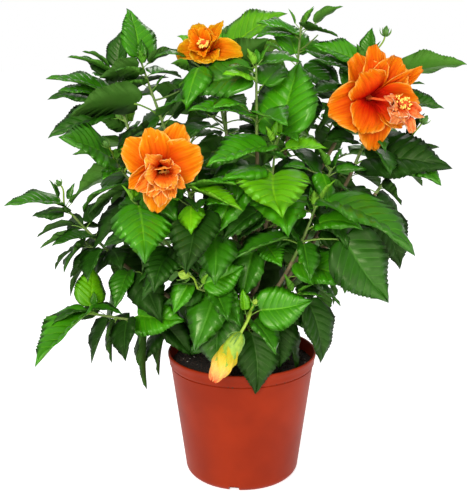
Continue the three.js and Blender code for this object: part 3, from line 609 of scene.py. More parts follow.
block("pot", "pot", nodeShape("pot"))
block("soil", "soil", nodeShape("soil"))
rings = [0, 0.08, 0.22, 0.6, 1]
trunkPath = [curves["trunk"].at(share) for share in rings]
trunkPath[-1].z += 1
block("trunk", "limb", limb(trunkPath, [trunkRadius(share) + 1 for share in rings], growth["trunk"]["sides"]))
for s in shoots:
    curves[s["name"]] = shootCurve(s)
    block("bough_" + s["name"], "limb", run(curves[s["name"]], 0.03, s["bare"], limbSize, 1))
for s in shoots:
    block(s["name"], "stem", run(curves[s["name"]], s["bare"], 1, stemSize, 0.8))
for name in ("bloom_left", "bloom_top", "bloom_right", "opening_bud"):
    block(name, "bloom", nodeShape(name))

for k, s in enumerate(shoots):
    for i, (share, heading, dip, length, roll, form, *petiole) in enumerate(s["placed"]):
        own = length * growth["hangingPetiole" if dip > growth["hanging"] else "placedPetiole"]
        wanted = {"heading": heading, "dip": dip, "length": length, "roll": roll, "form": form,
                  "petiole": petiole[0] if petiole else own}
        seed = growth["placedSeed"] + k * 131 + i * 17
        tryLeaf(s["name"], "stem", curves[s["name"]], share, wanted, seed, "placed%d" % i)

sideTwigs = []


# A side twig is left out where it would cross anything.
def growTwig(owner, kind, curve, share, heading, rise, length, size):
    root = curve.at(share)
    end = root + compass(heading, rise) * length
    line = Curve(root, root.lerp(end, 0.5) + Vector((0, 0, -0.08 * length)), end)
    spare = Obstacle(*run(line, 0.15, 1, size, 0.8))
    if any(spare.crosses(o) for o in obstacles):
        return None
    block(owner, kind, run(line, 0, 1, size, 0.8))
    sideTwigs.append((line, size))
    return line


for k, s in enumerate(shoots):
    curve, seed = curves[s["name"]], growth["seed"] + k * 977
    for i, (share, heading, rise, length, count) in enumerate(s["twigs"]):
        line = growTwig(s["name"], "twig%d" % i, curve, share, heading, rise, length, twigSize)
        if line:
            growLeaves(s["name"], "twig%d" % i, line, 0.3, count, heading + 60, s["size"] * 0.85, seed + 500 + i * 71)
    growLeaves(s["name"], "stem", curve, s["bare"], s["leaves"], s["turn"], s["size"], seed)
print("leaves of the frame's rule:", len(grown))

# finer growth within the same reach: fine twigs with small leaves, leaves deep in the crown, and young tips

finer = {"twigs": 3, "topTwigs": 6, "topFrom": 500, "twigSize": {"root": 1.3, "tip": 0.9, "sides": 3, "reach": 20},
         "twigLength": (22, 44), "twigLeaves": 3, "twigLeafSize": 46, "topLeafSize": 58, "inner": 7, "topInner": 4,
         "innerSize": 58, "tips": 3, "tipSize": 18, "turn": 70, "seed": 60013, "leafSeed": 88001,
         "leaves": [  # shoot, share, heading, dip, length, roll, form, petiole
             ("top_left", 0.85, 160, -45, 58, -20, 0, 12), ("upper_left_far", 0.99, 60, -70, 48, 0, 0, 8),
             ("upper_left_far", 0.97, 175, -35, 42, 20, 1, 9), ("back_top", 0.99, 20, -40, 62, 30, 0, 10),
             ("upper_left", 0.8, 30, -50, 62, 20, 0, 14), ("top", 0.93, 5, 20, 60, 40, 0, 12),
             ("top", 0.95, 175, 0, 50, -30, 1, 10), ("top_right", 0.85, 120, -50, 50, 0, 1, 10),
             ("upper_left_far", 0.88, 178, -16, 60, -20, 0, 22), ("left_mid", 0.98, 175, -18, 52, 20, 4, 8),
             ("upper_left_far", 0.8, -178, -2, 66, -25, 1, 34), ("right_far", 0.55, -40, 62, 80, 20, 1, 24),
             ("right_far", 0.5, -80, 70, 78, -10, 0, 16), ("right_low", 0.52, -12, 16, 74, -20, 4, 34),
             ("left_far", 0.8, -165, 30, 62, 20, 0, 20), ("left_far", 0.7, -150, 45, 60, -10, 1, 18),
             ("left_far", 0.62, -125, 62, 62, 10, 0, 16), ("back_top", 0.97, 60, -48, 52, 20, 1, 10),
             ("top", 0.9, 15, 38, 62, 50, 0, 16), ("back_top", 0.95, 175, -30, 60, -35, 0, 14),
         ]}

for i, (name, share, heading, dip, length, roll, form, petiole) in enumerate(finer["leaves"]):
    wanted = {"heading": heading, "dip": dip, "length": length, "roll": roll, "form": form, "petiole": petiole}
    if not tryLeaf(name, "stem", curves[name], share, wanted, finer["leafSeed"] + i * 29, "more%d" % i):
        print("no room for leaf", i, "of", name)

for k, s in enumerate(shoots):
    curve, seed = curves[s["name"]], finer["seed"] + k * 1193
    random = randomFrom(seed)
    random()
    high = s["tip"][2] > finer["topFrom"]
    inner, twigs = (finer["topInner"], finer["topTwigs"]) if high else (finer["inner"], finer["twigs"])
    turn, leafSize = s["turn"] + finer["turn"], finer["topLeafSize" if high else "twigLeafSize"]
    growLeaves(s["name"], "stem", curve, s["bare"], inner, turn, finer["innerSize"], seed + 11, "inner")
    for i in range(twigs):
        share = mix(s["bare"] + (0.2 if high else 0.05), 0.95, (i + random()) / twigs)
        heading, rise = turn + i * 137 + random() * 40, 15 + random() * 40
        line = growTwig(s["name"], "fine%d" % i, curve, share, heading, rise, mix(*finer["twigLength"], random()),
                        finer["twigSize"])
        if line:
            growLeaves(s["name"], "fine%d" % i, line, 0.35, finer["twigLeaves"], heading + 50, leafSize,
                       seed + 700 + i * 71, "fine")
    for i in range(finer["tips"]):
        wanted = {"heading": s["turn"] + i * 144 + random() * 30, "dip": -50 - random() * 25, "roll": 0, "form": 2,
                  "length": finer["tipSize"] * (1 + 0.5 * random()), "petiole": 9}
        tryLeaf(s["name"], "stem", curve, 0.97, wanted, seed + 900 + i * 13, "young")
print("leaves with the finer growth:", len(grown))

# leaf blades: rows follow the side veins out to the toothed margin

leafBlade = {
    "fine": {"veins": 6, "panelRows": 2, "footRows": 4, "columns": (0, 0.045, 0.34, 0.7, 1), "under": (0, 0.34, 1)},
    "plain": {"veins": 4, "panelRows": 1, "footRows": 2, "columns": (0, 0.07, 0.5, 1), "under": (0, 1)},
    "shapes": 3, "vein": 0.0032, "quilt": 0.03, "teeth": 0.014, "wave": 0.022, "thickness": 0.008, "lobe": 0.075,
    "dome": 0.1, "foot": 0.0006, "waves": 15, "bend": 0.1, "seed": 301,
    "veinFrom": 0.02, "veinSpan": 0.78, "veinRun": 0.26, "veinLeast": 0.05, "veinBend": 1.12,
    # The five tints run from light to dark; where they are dealt out by place in the crown, the darker ones are painted
    # shade.
    "tints": {  # blade, its second colour, veins, underside
        "lime": ("62aa04", "4e9604", "7ab816", "6c9c2a"),
        "bright": ("3e8e06", "307804", "5a9e16", "568a26"),
        "mid": ("33760b", "276208", "468618", "467424"),
        "deep": ("265a0c", "1c4808", "356a18", "39601e"),
        "dark": ("1d440a", "153407", "284f12", "2c4c16"),
    },
}


# Half the width of a blade along its length, 1 at the widest.
def leafHalf(x):
    return math.sin(math.pi * x ** 0.6) ** (0.62 + 0.5 * x) * (1 - 0.25 * x * x) * 1.03 if 0 < x < 1 else 0.0


# Each row: its station on the midrib and on the margin, what it is, and its place between two veins.
def leafRows(detail):
    veins = []
    for k in range(detail["veins"]):
        rest = 1 - k / detail["veins"]
        foot = leafBlade["veinFrom"] + leafBlade["veinSpan"] * (1 - rest)
        veins.append((foot, foot + leafBlade["veinRun"] * rest ** 0.8 + leafBlade["veinLeast"]))
    rows = [(0, leafBlade["foot"], "edge", 0)]
    for i in range(detail["footRows"]):
        share = (i + 1) / (detail["footRows"] + 1)
        rows.append((veins[0][0] * share * 0.6, mix(leafBlade["foot"], veins[0][1], share ** 2.2), "foot", share))
    for (foot, end), (nextFoot, nextEnd) in zip(veins, veins[1:] + [(0.97, 0.985)]):
        width = leafBlade["vein"]
        rows += [(foot - width, end - width * 2, "veinLow", 0), (foot + width, end + width * 2, "veinHigh", 0)]
        for i in range(detail["panelRows"]):
            share = (i + 1) / (detail["panelRows"] + 1)
            sort = "panelHigh" if i % 2 else "panelLow"
            rows.append((mix(foot, nextFoot, share), mix(end, nextEnd, share), sort, share))
    return rows + [(1, 1, "tip", 0)]


def leafMesh(name, form, detail, seed):
    random = randomFrom(seed)
    random()
    phases = {1: random() * fullTurn, -1: random() * fullTurn}  # of the wave on either side of the midrib
    bend = (random() - 0.5) * leafBlade["bend"]
    rows, width = leafRows(detail), form["width"]
    toothOf = {"veinHigh": 1, "panelLow": -0.5, "panelHigh": 0.9, "veinLow": -0.5}

    def spot(row, share, hand, below):
        station, margin, sort, between = rows[row]
        half = leafHalf(margin) * width
        lobe = leafBlade["lobe"] * math.sin(math.pi * min(1, leafHalf(margin) * share * 0.9)) * (1 - margin) ** 5
        s = mix(station, margin, share ** leafBlade["veinBend"]) - lobe
        aside = half * share + (leafBlade["teeth"] * toothOf.get(sort, 0) * min(1, half * 8) if share == 1 else 0)
        quilt = leafBlade["quilt"] * math.sin(math.pi * between) * math.sin(math.pi * min(1, share * 1.05)) ** 0.6
        wave = leafBlade["wave"] * share ** 2 * math.sin(s * leafBlade["waves"] + phases[hand])
        dome = leafBlade["dome"] * width * share * (1 - share) * 2
        side = bend * math.sin(math.pi * s)
        above = 0 if share == 1 else -leafBlade["thickness"] if below else quilt
        return Vector(onBlade(form, 1, s, hand * aside, above + wave + dome)) + Vector((0, side, 0))

    points, faces, parts = [], [], []
    index = {}

    def number(row, share, hand, below):
        if share == 0:
            hand = 1
        if share == 1:
            below = False
        key = (row, 0, 1, False) if row == len(rows) - 1 else (row, share, hand, below)
        if key not in index:
            index[key] = len(points)
            points.append(spot(*key))
        return index[key]

    for row in range(len(rows) - 1):
        for hand in (1, -1):
            for below, columns in ((False, detail["columns"]), (True, detail["under"])):
                for a, b in zip(columns, columns[1:]):
                    ring = [number(row, a, hand, below), number(row + 1, a, hand, below),
                            number(row + 1, b, hand, below), number(row, b, hand, below)]
                    ring = list(dict.fromkeys(ring))
                    if len(ring) < 3:
                        continue
                    if (hand > 0) != below:
                        ring.reverse()
                    faces.append(ring)
                    vein = a == 0 or rows[row][2] == "veinLow" and b < 1
                    parts.append(2 if below else 1 if vein else 0)
    # the base edge, between the upper and the lower blade
    for hand in (1, -1):
        upper = [number(0, c, hand, False) for c in detail["columns"]]
        lower = [number(0, c, hand, True) for c in detail["under"]]
        ring = list(dict.fromkeys(upper + lower[::-1]))
        faces.append(ring if hand > 0 else ring[::-1])
        parts.append(2)
    mesh = meshOf(name, points, faces, scale=1)
    setValues(mesh, "part", "INT", parts, "FACE")
    return mesh


tintNames = list(leafBlade["tints"])
leafFinishes = []
leafSheen = (0.95, 1, 0.6)
leafGloss = {"lime": ((0.34, 0.46), 0.42), "bright": ((0.28, 0.42), 0.5), "mid": ((0.26, 0.4), 0.5),
             "deep": ((0.32, 0.48), 0.36), "dark": ((0.42, 0.58), 0.2)}
# A blade, vein and underside finish for each tint; the darker tints serve partly as painted shade.
for tint, (blade, second, vein, under) in leafBlade["tints"].items():
    title = "leaf" + tint.capitalize()
    roughness, level = leafGloss[tint]
    leafFinishes += [
        surface(title + "Blade", blade, second, 26, roughness, 0.35, 700, level=level, depth=0.0003, sheen=leafSheen),
        surface(title + "Vein", vein, blended(vein, blade, 0.4), 60, (0.4, 0.55), 0.2, 900, level=0.3,
                sheen=leafSheen),
        surface(title + "Under", under, blended(under, blade, 0.4), 40, (0.6, 0.75), 0.3, 500,
                level=0.2, sheen=leafSheen),
    ]

bladeShelf = bpy.data.collections.new("leafBlades")
scene.collection.children.link(bladeShelf)
bladeNumber = {}
for detail in ("fine", "plain"):
    for form in range(len(leafForms)):
        for shape in range(leafBlade["shapes"]):
            bladeNumber[detail, form, shape] = len(bladeNumber)
            name = "blade%02d" % bladeNumber[detail, form, shape]
            mesh = leafMesh(name, leafForms[form], leafBlade[detail],
                            leafBlade["seed"] + 17 * len(bladeNumber))
            bladeShelf.objects.link(bpy.data.objects.new(name, mesh))

# placed leaves whose tint is known, partly their own colour and partly painted shade; the rest are dealt out by how
# deep they lie in the crown, with painted shade deep inside
tintOf = {
    "lime": ["front_centre placed2", "front_left placed0", "left_low placed0"],
    "bright": ["front_low placed0", "left_low placed4", "front_left_low placed0", "upper_left placed0",
               "front_centre placed0", "front_centre placed1", "front_centre placed3", "left_low placed1",
               "left_inner placed0", "top_front placed1", "top_right placed0", "top placed0", "right_low placed2"],
    "mid": ["right_low placed0", "top_front placed0", "left_mid placed0", "upper_right placed0", "right_far placed0",
            "upper_left_far placed0", "left_far placed0"],
    "deep": ["top placed3", "top_left placed0", "upper_left placed3", "left_inner placed1", "right_low placed1",
             "front_left_low placed1"],
    "dark": ["front_left placed2", "left_low placed2", "left_low placed3", "front_right_low placed0",
             "front_right_low placed1", "front_low placed1"],
}
tintOf = {leaf: tint for tint, leaves in tintOf.items() for leaf in leaves}
# Painted shade and age: a leaf's tint is lighter to the front and back and the top, and darker deep in the crown, low
# down and to the sides, where shade falls; it is lighter at the tips and on young leaves as their own colour, with some
# chance; the steps part the five tints.
shadeAndAge = {"least": 0.35, "outward": 0.75, "deep": 120, "upward": 0.2, "middle": 330, "high": 225, "aside": 0.12,
             "wide": 230, "chance": 0.6, "kinds": {"inner": -0.25, "fine": 0.1, "young": 0.25}, "tipFrom": 0.85,
             "tip": 0.15, "steps": (0.72, 1.0, 1.3, 1.6), "seed": 77003}


# Painted shade: the score darkens a leaf deep in the crown, low down and to the sides; tips and young leaves are
# lighter as their own colour.
def tintFor(leaf, random):
    key = leaf["owner"] + " " + leaf["kind"]
    if key in tintOf:
        return tintNames.index(tintOf[key])
    middle = leaf["base"] + leaf["along"] * leaf["length"] * 0.5
    score = shadeAndAge["least"] + shadeAndAge["outward"] * min(1, abs(middle.y) / shadeAndAge["deep"])
    score += shadeAndAge["upward"] * (middle.z - shadeAndAge["middle"]) / shadeAndAge["high"]
    score += shadeAndAge["chance"] * random() - shadeAndAge["aside"] * abs(middle.x) / shadeAndAge["wide"]
    score += shadeAndAge["kinds"].get(leaf["kind"], 0) + (shadeAndAge["tip"] if leaf["share"] > shadeAndAge["tipFrom"] else 0)
    return sum(score < step for step in shadeAndAge["steps"])


def leafTree():
    tree, sockets, start, end = newTree("leafSprays", {"Blades": "Collection", "Size": "Float"})
    blades = addNode(tree, "GeometryNodeCollectionInfo", None, collection=start.outputs["Blades"],
                     separateChildren=True, resetChildren=True)
    size = addMath(tree, "MULTIPLY", attribute(tree, "size"), start.outputs["Size"])
    turned = addNode(tree, "FunctionNodeEulerToRotation", None, euler=attribute(tree, "turned", "FLOAT_VECTOR"))
    spray = addNode(tree, "GeometryNodeInstanceOnPoints", None, points=start.outputs["Geometry"],
                    instance=blades.outputs["Instances"], pickInstance=True,
                    instanceIndex=attribute(tree, "blade", "INT"),
                    rotation=turned.outputs["Rotation"], scale=size)
    parts = len(leafFinishes) // len(tintNames)  # a blade, a vein and an underside for each tint
    number = addMath(tree, "MULTIPLY_ADD", attribute(tree, "tint", "INT"), parts, attribute(tree, "part", "INT"))
    finishTree(tree, spray.outputs["Instances"], end, leafFinishes, number)
    return tree, sockets


def leafPiece(name, chosen, nodes):
    mesh = meshOf(name + "Points", [leaf["base"] for leaf in chosen], [])
    turns = [Matrix((leaf["along"], leaf["side"], leaf["up"])).transposed().to_euler() for leaf in chosen]
    setValues(mesh, "turned", "FLOAT_VECTOR", [angle for turn in turns for angle in turn])
    for label, kind, key in (("size", "FLOAT", "length"), ("blade", "INT", "blade"), ("tint", "INT", "tint")):
        setValues(mesh, label, kind, [leaf[key] for leaf in chosen])
    made = grownFrom(name, mesh, *leafSprays, {"Blades": bladeShelf, "Size": metre})
    return pieceOf(name, made, "foliage", nodes)


# Each leaf gets its tint, with painted shade by its place in the crown, and one of the blade shapes.
random = randomFrom(shadeAndAge["seed"])
for leaf in grown:
    leaf["tint"] = tintFor(leaf, random)
    detail = "fine" if leaf["kind"][:4] in ("plac", "more") else "plain"
    leaf["blade"] = bladeNumber[detail, leaf["form"], int(random() * leafBlade["shapes"])]

leafSprays = leafTree()
upperFrom = 430  # where a front shoot's tip is higher, its leaves belong to the upper ones
regions = {"back": [], "upper": [], "lower": []}
for s in shoots:
    region = "back" if s["name"].startswith("back") else "upper" if s["tip"][2] > upperFrom else "lower"
    regions[region].append(s["name"])
for region, names in regions.items():
    leafPiece("leaves_" + region, [leaf for leaf in grown if leaf["owner"] in names], ["foliage_" + n for n in names])
for thing in list(bladeShelf.objects):
    bpy.data.objects.remove(thing)
bpy.data.collections.remove(bladeShelf)

# stems, twigs and petioles: tubes along lines, each with a girth at every point

wood = {"sides": 8, "stemTip": 0.75, "twigTip": 0.8, "changeAt": 0.45, "petioleGirth": 0.95,
        "petioleSwell": [(0, 1.5), (0.08, 1.1), (0.3, 0.95), (0.6, 0.95), (0.85, 1.15), (1, 0.9)],  # place, girth
        "finishes": [
            surface("youngStem", "5d7d2c", "7b8f45", 90, (0.5, 0.65), 0.5, 500),
            surface("petioleGreen", "86ab3c", "6f9a30", 90, (0.45, 0.6), 0.3, 600),
            surface("stemBark", "6c5a3c", "8a7a55", 120, (0.75, 0.9), 0.8, 420, (1, 1, 0.35)),
        ]}


def tubeTree(name, finishes):
    tree, sockets, start, end = newTree(name, {"Sides": "Int"})
    line = addNode(tree, "GeometryNodeMeshToCurve", None, mesh=start.outputs["Geometry"])
    ring = addNode(tree, "GeometryNodeCurvePrimitiveCircle", None, resolution=start.outputs["Sides"], radius=1.0)
    tube = addNode(tree, "GeometryNodeCurveToMesh", None, curve=line.outputs["Curve"],
                   profileCurve=ring.outputs["Curve"], scale=attribute(tree, "girth"), fillCaps=True)
    smooth = addNode(tree, "GeometryNodeSetShadeSmooth", None, geometry=tube.outputs["Mesh"], shadeSmooth=True)
    finishTree(tree, smooth.outputs["Geometry"], end, finishes, attribute(tree, "finish", "INT"))
    return tree, sockets


def linesMesh(name, lines):
    points, edges, girths, finishes = [], [], [], []
    for path, radii, finish in lines:
        edges += [(len(points) + i, len(points) + i + 1) for i in range(len(path) - 1)]
        points += path
        girths += [r * metre for r in radii]
        finishes += [finish] * len(path)
    mesh = bpy.data.meshes.new(name)
    mesh.from_pydata([tuple(p * metre) for p in points], edges, [])
    setValues(mesh, "girth", "FLOAT", girths)
    setValues(mesh, "finish", "INT", finishes)
    return mesh


def curveLine(curve, fromShare, toShare, root, tip, finish, step=6.0):
    count = max(3, int(curve.length() * (toShare - fromShare) / step))
    shares = [i / count for i in range(count + 1)]
    return [curve.at(mix(fromShare, toShare, i)) for i in shares], [mix(root, tip, i) for i in shares], finish


# A petiole swells at both ends and arches from the stem to the blade.
def petioleLine(leaf):
    root, base = leaf["root"], leaf["base"]
    bend = Curve(root, root.lerp(base, 0.5) + Vector((0, 0, 0.12 * (base - root).length)), base,
                 base + leaf["along"] * leaf["length"] * 0.03)
    girth = wood["petioleGirth"] * min(1.15, max(0.5, leaf["length"] / 75))
    swell = wood["petioleSwell"]
    return [bend.at(share) for share, _ in swell], [girth * wide for _, wide in swell], 1


lines = []
for s in shoots:
    curve = curves[s["name"]]
    middle = mix(s["bare"], 1, wood["changeAt"])  # bark below, green above
    girth = mix(stemSize["root"], stemSize["tip"], wood["changeAt"])
    lines.append(curveLine(curve, s["bare"], middle, limbSize["tip"] * 0.97, girth, 2))
    lines.append(curveLine(curve, middle, 1, girth, stemSize["tip"] * wood["stemTip"], 0))
lines += [curveLine(line, 0, 1, size["root"], size["tip"] * wood["twigTip"], 0) for line, size in sideTwigs]
lines += [petioleLine(leaf) for leaf in grown]
woodTree = tubeTree("woodLines", wood["finishes"])
stemsMade = grownFrom("stems_and_twigs", linesMesh("woodLines", lines), *woodTree, {"Sides": wood["sides"]})
pieceOf("stems_and_twigs", stemsMade, "foliage", ["foliage_" + s["name"] for s in shoots])
print("stems, twigs and petioles made:", len(lines), "lines")

# trunk and boughs with the bark's relief

bark = {"trunkStep": 1.6, "boughStep": 3.0, "trunkSides": 40, "boughSides": 14, "ridge": 0.063, "grain": 0.028,
        "knot": 0.098, "knotEvery": 19, "knotHalf": 2.4, "knotTurn": 2.4}


def wobble(x, y, z):
    return noise.noise(Vector((x, y, z)))


def barkLimb(curve, fromShare, toShare, radiusAt, sides, step, seed):
    length = curve.length() * (toShare - fromShare)
    count = max(6, int(length / step))
    points, side = [], Vector(limbSide).normalized()
    for i in range(count + 1):
        share = mix(fromShare, toShare, i / count)
        along, centre, radius = curve.along(share), curve.at(share), radiusAt(i / count)
        side = (side - along * side.dot(along)).normalized()
        over = along.cross(side)
        down = length * i / count
        for turn in turnsOf(sides):
            ridges = wobble(math.cos(turn) * 2.6, math.sin(turn) * 2.6, down * 0.045 + seed)
            grain = wobble(math.cos(turn) * 6, math.sin(turn) * 6, down * 0.35 + seed * 3)
            knot = max(0, math.cos(turn - down / bark["knotEvery"] * bark["knotTurn"])) ** 6
            knot *= max(0, 1 - abs(down % bark["knotEvery"] - 9) / bark["knotHalf"])
            out = radius * (1 + bark["ridge"] * ridges + bark["grain"] * grain + bark["knot"] * knot)
            points.append(around(centre, side, over, turn, out))
    return points, tubeFaces(count + 1, sides)


def joined(shapes):
    points, faces = [], []
    for some, others in shapes:
        faces += [tuple(len(points) + v for v in face) for face in others]
        points += some
    return points, faces


shapes = [barkLimb(curves["trunk"], 0, 1, trunkRadius, bark["trunkSides"], bark["trunkStep"], 4.1)]
for k, s in enumerate(shoots):
    shapes.append(barkLimb(curves[s["name"]], 0.004, s["bare"] - 0.002,
                           lambda share: mix(limbSize["root"], limbSize["tip"], share),
                           bark["boughSides"], bark["boughStep"], k * 1.7))
barkMesh = meshOf("trunk_and_boughs", *joined(shapes))
barkMesh.materials.append(surface("shrubBark", "5c4c34", "8d7c5a", 110, (0.75, 0.95), 0.9, 520,
                                  (1, 1, 0.3), depth=0.0006))
pieceOf("trunk_and_boughs", barkMesh, "bark", ["trunk"] + ["bough_" + s["name"] for s in shoots])
print("bark made")

# pot: a thin turned shell with a rim band, a rounded foot and notches for drainage

potShape = {"height": 165, "rim": 96, "foot": 73, "wall": 2.4, "floor": 3, "corner": 11, "band": 15, "step": 1.3,
            "lip": 3, "round": 1.4, "groove": 1.2, "grooveHeight": 1.8, "sides": 144,
            "notches": 4, "notchWidth": 13, "notchHeight": 8.5, "notchTurn": -0.09, "sharp": 38}


def potRadius(z):
    return mix(potShape["foot"], potShape["rim"] - potShape["step"], z / potShape["height"])


def turnedShell(profile, sides):
    points, faces, rings = [], [], []
    for radius, z in profile:
        if radius == 0:
            rings.append([len(points)])
            points.append(Vector((0, 0, z)))
        else:
            rings.append(list(range(len(points), len(points) + sides)))
            points += [Vector((math.cos(turn) * radius, math.sin(turn) * radius, z)) for turn in turnsOf(sides)]
    for lower, upper in zip(rings, rings[1:]):
        for k in range(sides):
            after = k + 1
            ring = (lower[k % len(lower)], lower[after % len(lower)], upper[after % len(upper)], upper[k % len(upper)])
            faces.append(tuple(dict.fromkeys(ring)))
    return points, faces


def potProfile():
    size, profile = potShape, [(0, 0.0)]
    corner, height = size["corner"], size["height"]
    bandFoot = height - size["band"]
    profile.append((potRadius(corner) - corner - 2, 0))
    for i in range(9):
        turn = i / 8 * math.pi / 2
        profile.append((potRadius(corner) - corner * (1 - math.sin(turn)), corner * (1 - math.cos(turn))))
    profile += [(potRadius(z), z) for z in (20, 45, 75, 105, 130, 145, bandFoot - 2.4)]
    grooveRadius = potRadius(bandFoot) - size["groove"]
    profile += [(grooveRadius, bandFoot - size["grooveHeight"]), (grooveRadius, bandFoot - 0.1)]
    band = potRadius(bandFoot) + size["step"]
    profile += [(band - 0.5, bandFoot + 0.1), (band, bandFoot + 0.7), (band + 0.3, bandFoot + 4),
                (size["rim"] - 0.9, height - size["lip"] - 2.4), (size["rim"] - 0.2, height - size["lip"] - 1.4)]
    wall, edge = size["wall"], size["round"]
    for i in range(7):
        turn = i / 6 * math.pi
        profile.append((size["rim"] - edge + edge * math.cos(turn), height - edge + edge * math.sin(turn)))
    profile += [(size["rim"] - 3, height - 5), (potRadius(120) - wall, 120), (potRadius(60) - wall, 60),
                (potRadius(corner) - wall, corner + 2), (potRadius(corner) - corner, size["floor"]), (0, size["floor"])]
    return profile


# A block with rounded upper corners that cuts one notch through the pot's foot.
def notchBlock(number):
    size = potShape
    turn = math.radians((number + size["notchTurn"]) / size["notches"] * 360 - 90)
    out, level = Vector((math.cos(turn), math.sin(turn), 0)), Vector((-math.sin(turn), math.cos(turn), 0))
    middle = out * (size["foot"] - size["corner"] * 0.3)
    reach, half, rise = size["corner"] * 0.8, size["notchWidth"] / 2, size["notchHeight"]
    arc = [(-half, -4), (half, -4), (half, rise - 1.6), (half - 0.6, rise - 0.5), (half - 1.8, rise),
           (1.8 - half, rise), (0.6 - half, rise - 0.5), (-half, rise - 1.6)]
    near = [middle - out * reach + level * x + Vector((0, 0, z)) for x, z in arc]
    far = [p + out * (reach * 2) for p in near]
    count = len(arc)
    walls = [(i, (i + 1) % count, count + (i + 1) % count, count + i) for i in range(count)]
    return near + far, [tuple(range(count))[::-1], tuple(range(count, count * 2))] + walls


potPiece = pieceOf("pot_shell", meshOf("potShell", *turnedShell(potProfile(), potShape["sides"])))
notchBlocks = joined([notchBlock(k) for k in range(potShape["notches"])])
cutter = pieceOf("notchCutter", meshOf("notchCutter", *notchBlocks, smooth=False))
cut = potPiece.modifiers.new("notches", "BOOLEAN")
cut.operation, cut.solver, cut.object = "DIFFERENCE", "EXACT", cutter
cutDepsgraph = bpy.context.evaluated_depsgraph_get()
potPiece.data = bpy.data.meshes.new_from_object(potPiece.evaluated_get(cutDepsgraph), depsgraph=cutDepsgraph)
potPiece.modifiers.remove(cut)
bpy.data.objects.remove(cutter)
potPiece.data.set_sharp_from_angle(angle=math.radians(potShape["sharp"]))
potPiece.data.materials.clear()
potPiece.data.materials.append(surface("potPlastic", "8e2706", "802105", 14, (0.42, 0.55), 0.25, 900, level=0.1,
                                       depth=0.0002))
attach(potPiece, "root")
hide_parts("pot")
print("pot made")

# soil: a lumpy surface in the pot, strewn with crumbs and a few pale grains

soilShape = {"radius": 91.0, "top": 152, "depth": 9, "taper": 0.985, "rings": 26, "sides": 96, "lumps": 2.2,
             "sunk": 2.5, "crumbDensity": 52000, "crumbSize": 0.0017, "grainDensity": 2200, "grainSize": 0.0013,
             "seed": 5}
soilFinishes = [
    surface("pottingSoil", "17100c", "2a1e15", 160, (0.9, 1.0), 1.0, 900, depth=0.001),
    surface("soilCrumb", "1d1510", "3a2b1d", 300, (0.85, 1.0), 0.8, 1200),
    surface("paleGrain", "c9c4b8", "a9a294", 300, (0.7, 0.9), 0.4, 1500),
]


# A lumpy disc that sinks a little at the pot's wall, with a short skirt and a flat underside.
def soilBed():
    points, top = [Vector((0, 0, soilShape["top"]))], soilShape["top"]
    rings, sides = soilShape["rings"], soilShape["sides"]
    for i in range(1, rings + 1):
        radius = soilShape["radius"] * i / rings
        for turn in turnsOf(sides):
            x, y = math.cos(turn) * radius, math.sin(turn) * radius
            lump = noise.noise(Vector((x * 0.12, y * 0.12, 3))) + 0.5 * noise.noise(Vector((x, y, 9)) * 0.4)
            points.append(Vector((x, y, top + soilShape["lumps"] * lump - soilShape["sunk"] * (i / rings) ** 8)))
    points += [Vector((p.x * soilShape["taper"], p.y * soilShape["taper"], top - soilShape["depth"]))
               for p in points[-sides:]]
    faces = [(0, 1 + k, 1 + (k + 1) % sides) for k in range(sides)]
    for ring in range(rings):
        inner, outer = 1 + ring * sides, 1 + (ring + 1) * sides
        faces += [(inner + k, outer + k, outer + (k + 1) % sides, inner + (k + 1) % sides) for k in range(sides)]
    faces.append(tuple(range(outer, outer + sides))[::-1])
    return points, faces


def soilTree():
    tree, sockets, start, end = newTree("soilCrumbs", {"Crumbs": "Float", "Crumb Size": "Float", "Grains": "Float",
                                                       "Grain Size": "Float", "Seed": "Int"})
    join = tree.nodes.new("GeometryNodeJoinGeometry")
    tree.links.new(start.outputs["Geometry"], join.inputs[0])
    for finish, density, size, shift in ((1, "Crumbs", "Crumb Size", 0), (2, "Grains", "Grain Size", 40)):
        strewn = addNode(tree, "GeometryNodeDistributePointsOnFaces", None, mesh=start.outputs["Geometry"],
                         density=start.outputs[density], seed=start.outputs["Seed"])
        grain = addNode(tree, "GeometryNodeMeshIcoSphere", None, radius=start.outputs[size], subdivisions=1)
        marked = addNode(tree, "GeometryNodeStoreNamedAttribute", {"data_type": "INT", "domain": "FACE"},
                         geometry=grain.outputs["Mesh"], name="finish", value=finish)
        sizes = addNode(tree, "FunctionNodeRandomValue", {"data_type": "FLOAT_VECTOR"}, min=(0.4, 0.5, 0.3),
                        max=(1.3, 1.2, 0.9), seed=shift + 1)
        put = addNode(tree, "GeometryNodeInstanceOnPoints", None, points=strewn.outputs["Points"],
                      instance=marked.outputs["Geometry"], rotation=anyTurn(tree, shift + 2), scale=sizes.outputs[0])
        tree.links.new(put.outputs["Instances"], join.inputs[0])
    finishTree(tree, join.outputs["Geometry"], end, soilFinishes, attribute(tree, "finish", "INT"))
    return tree, sockets


soilMesh = meshOf("soilBed", *soilBed())
setValues(soilMesh, "finish", "INT", [0] * len(soilMesh.polygons), "FACE")
soilMade = grownFrom("soil_surface", soilMesh, *soilTree(), {
    "Crumbs": soilShape["crumbDensity"], "Crumb Size": soilShape["crumbSize"], "Grains": soilShape["grainDensity"],
    "Grain Size": soilShape["grainSize"], "Seed": soilShape["seed"]})
pieceOf("soil_surface", soilMade, "soil", ["soil"])
print("soil made:", len(soilMade.polygons), "faces")

# blooms: ruffled petals round a dark throat, petaloids and a column with anthers

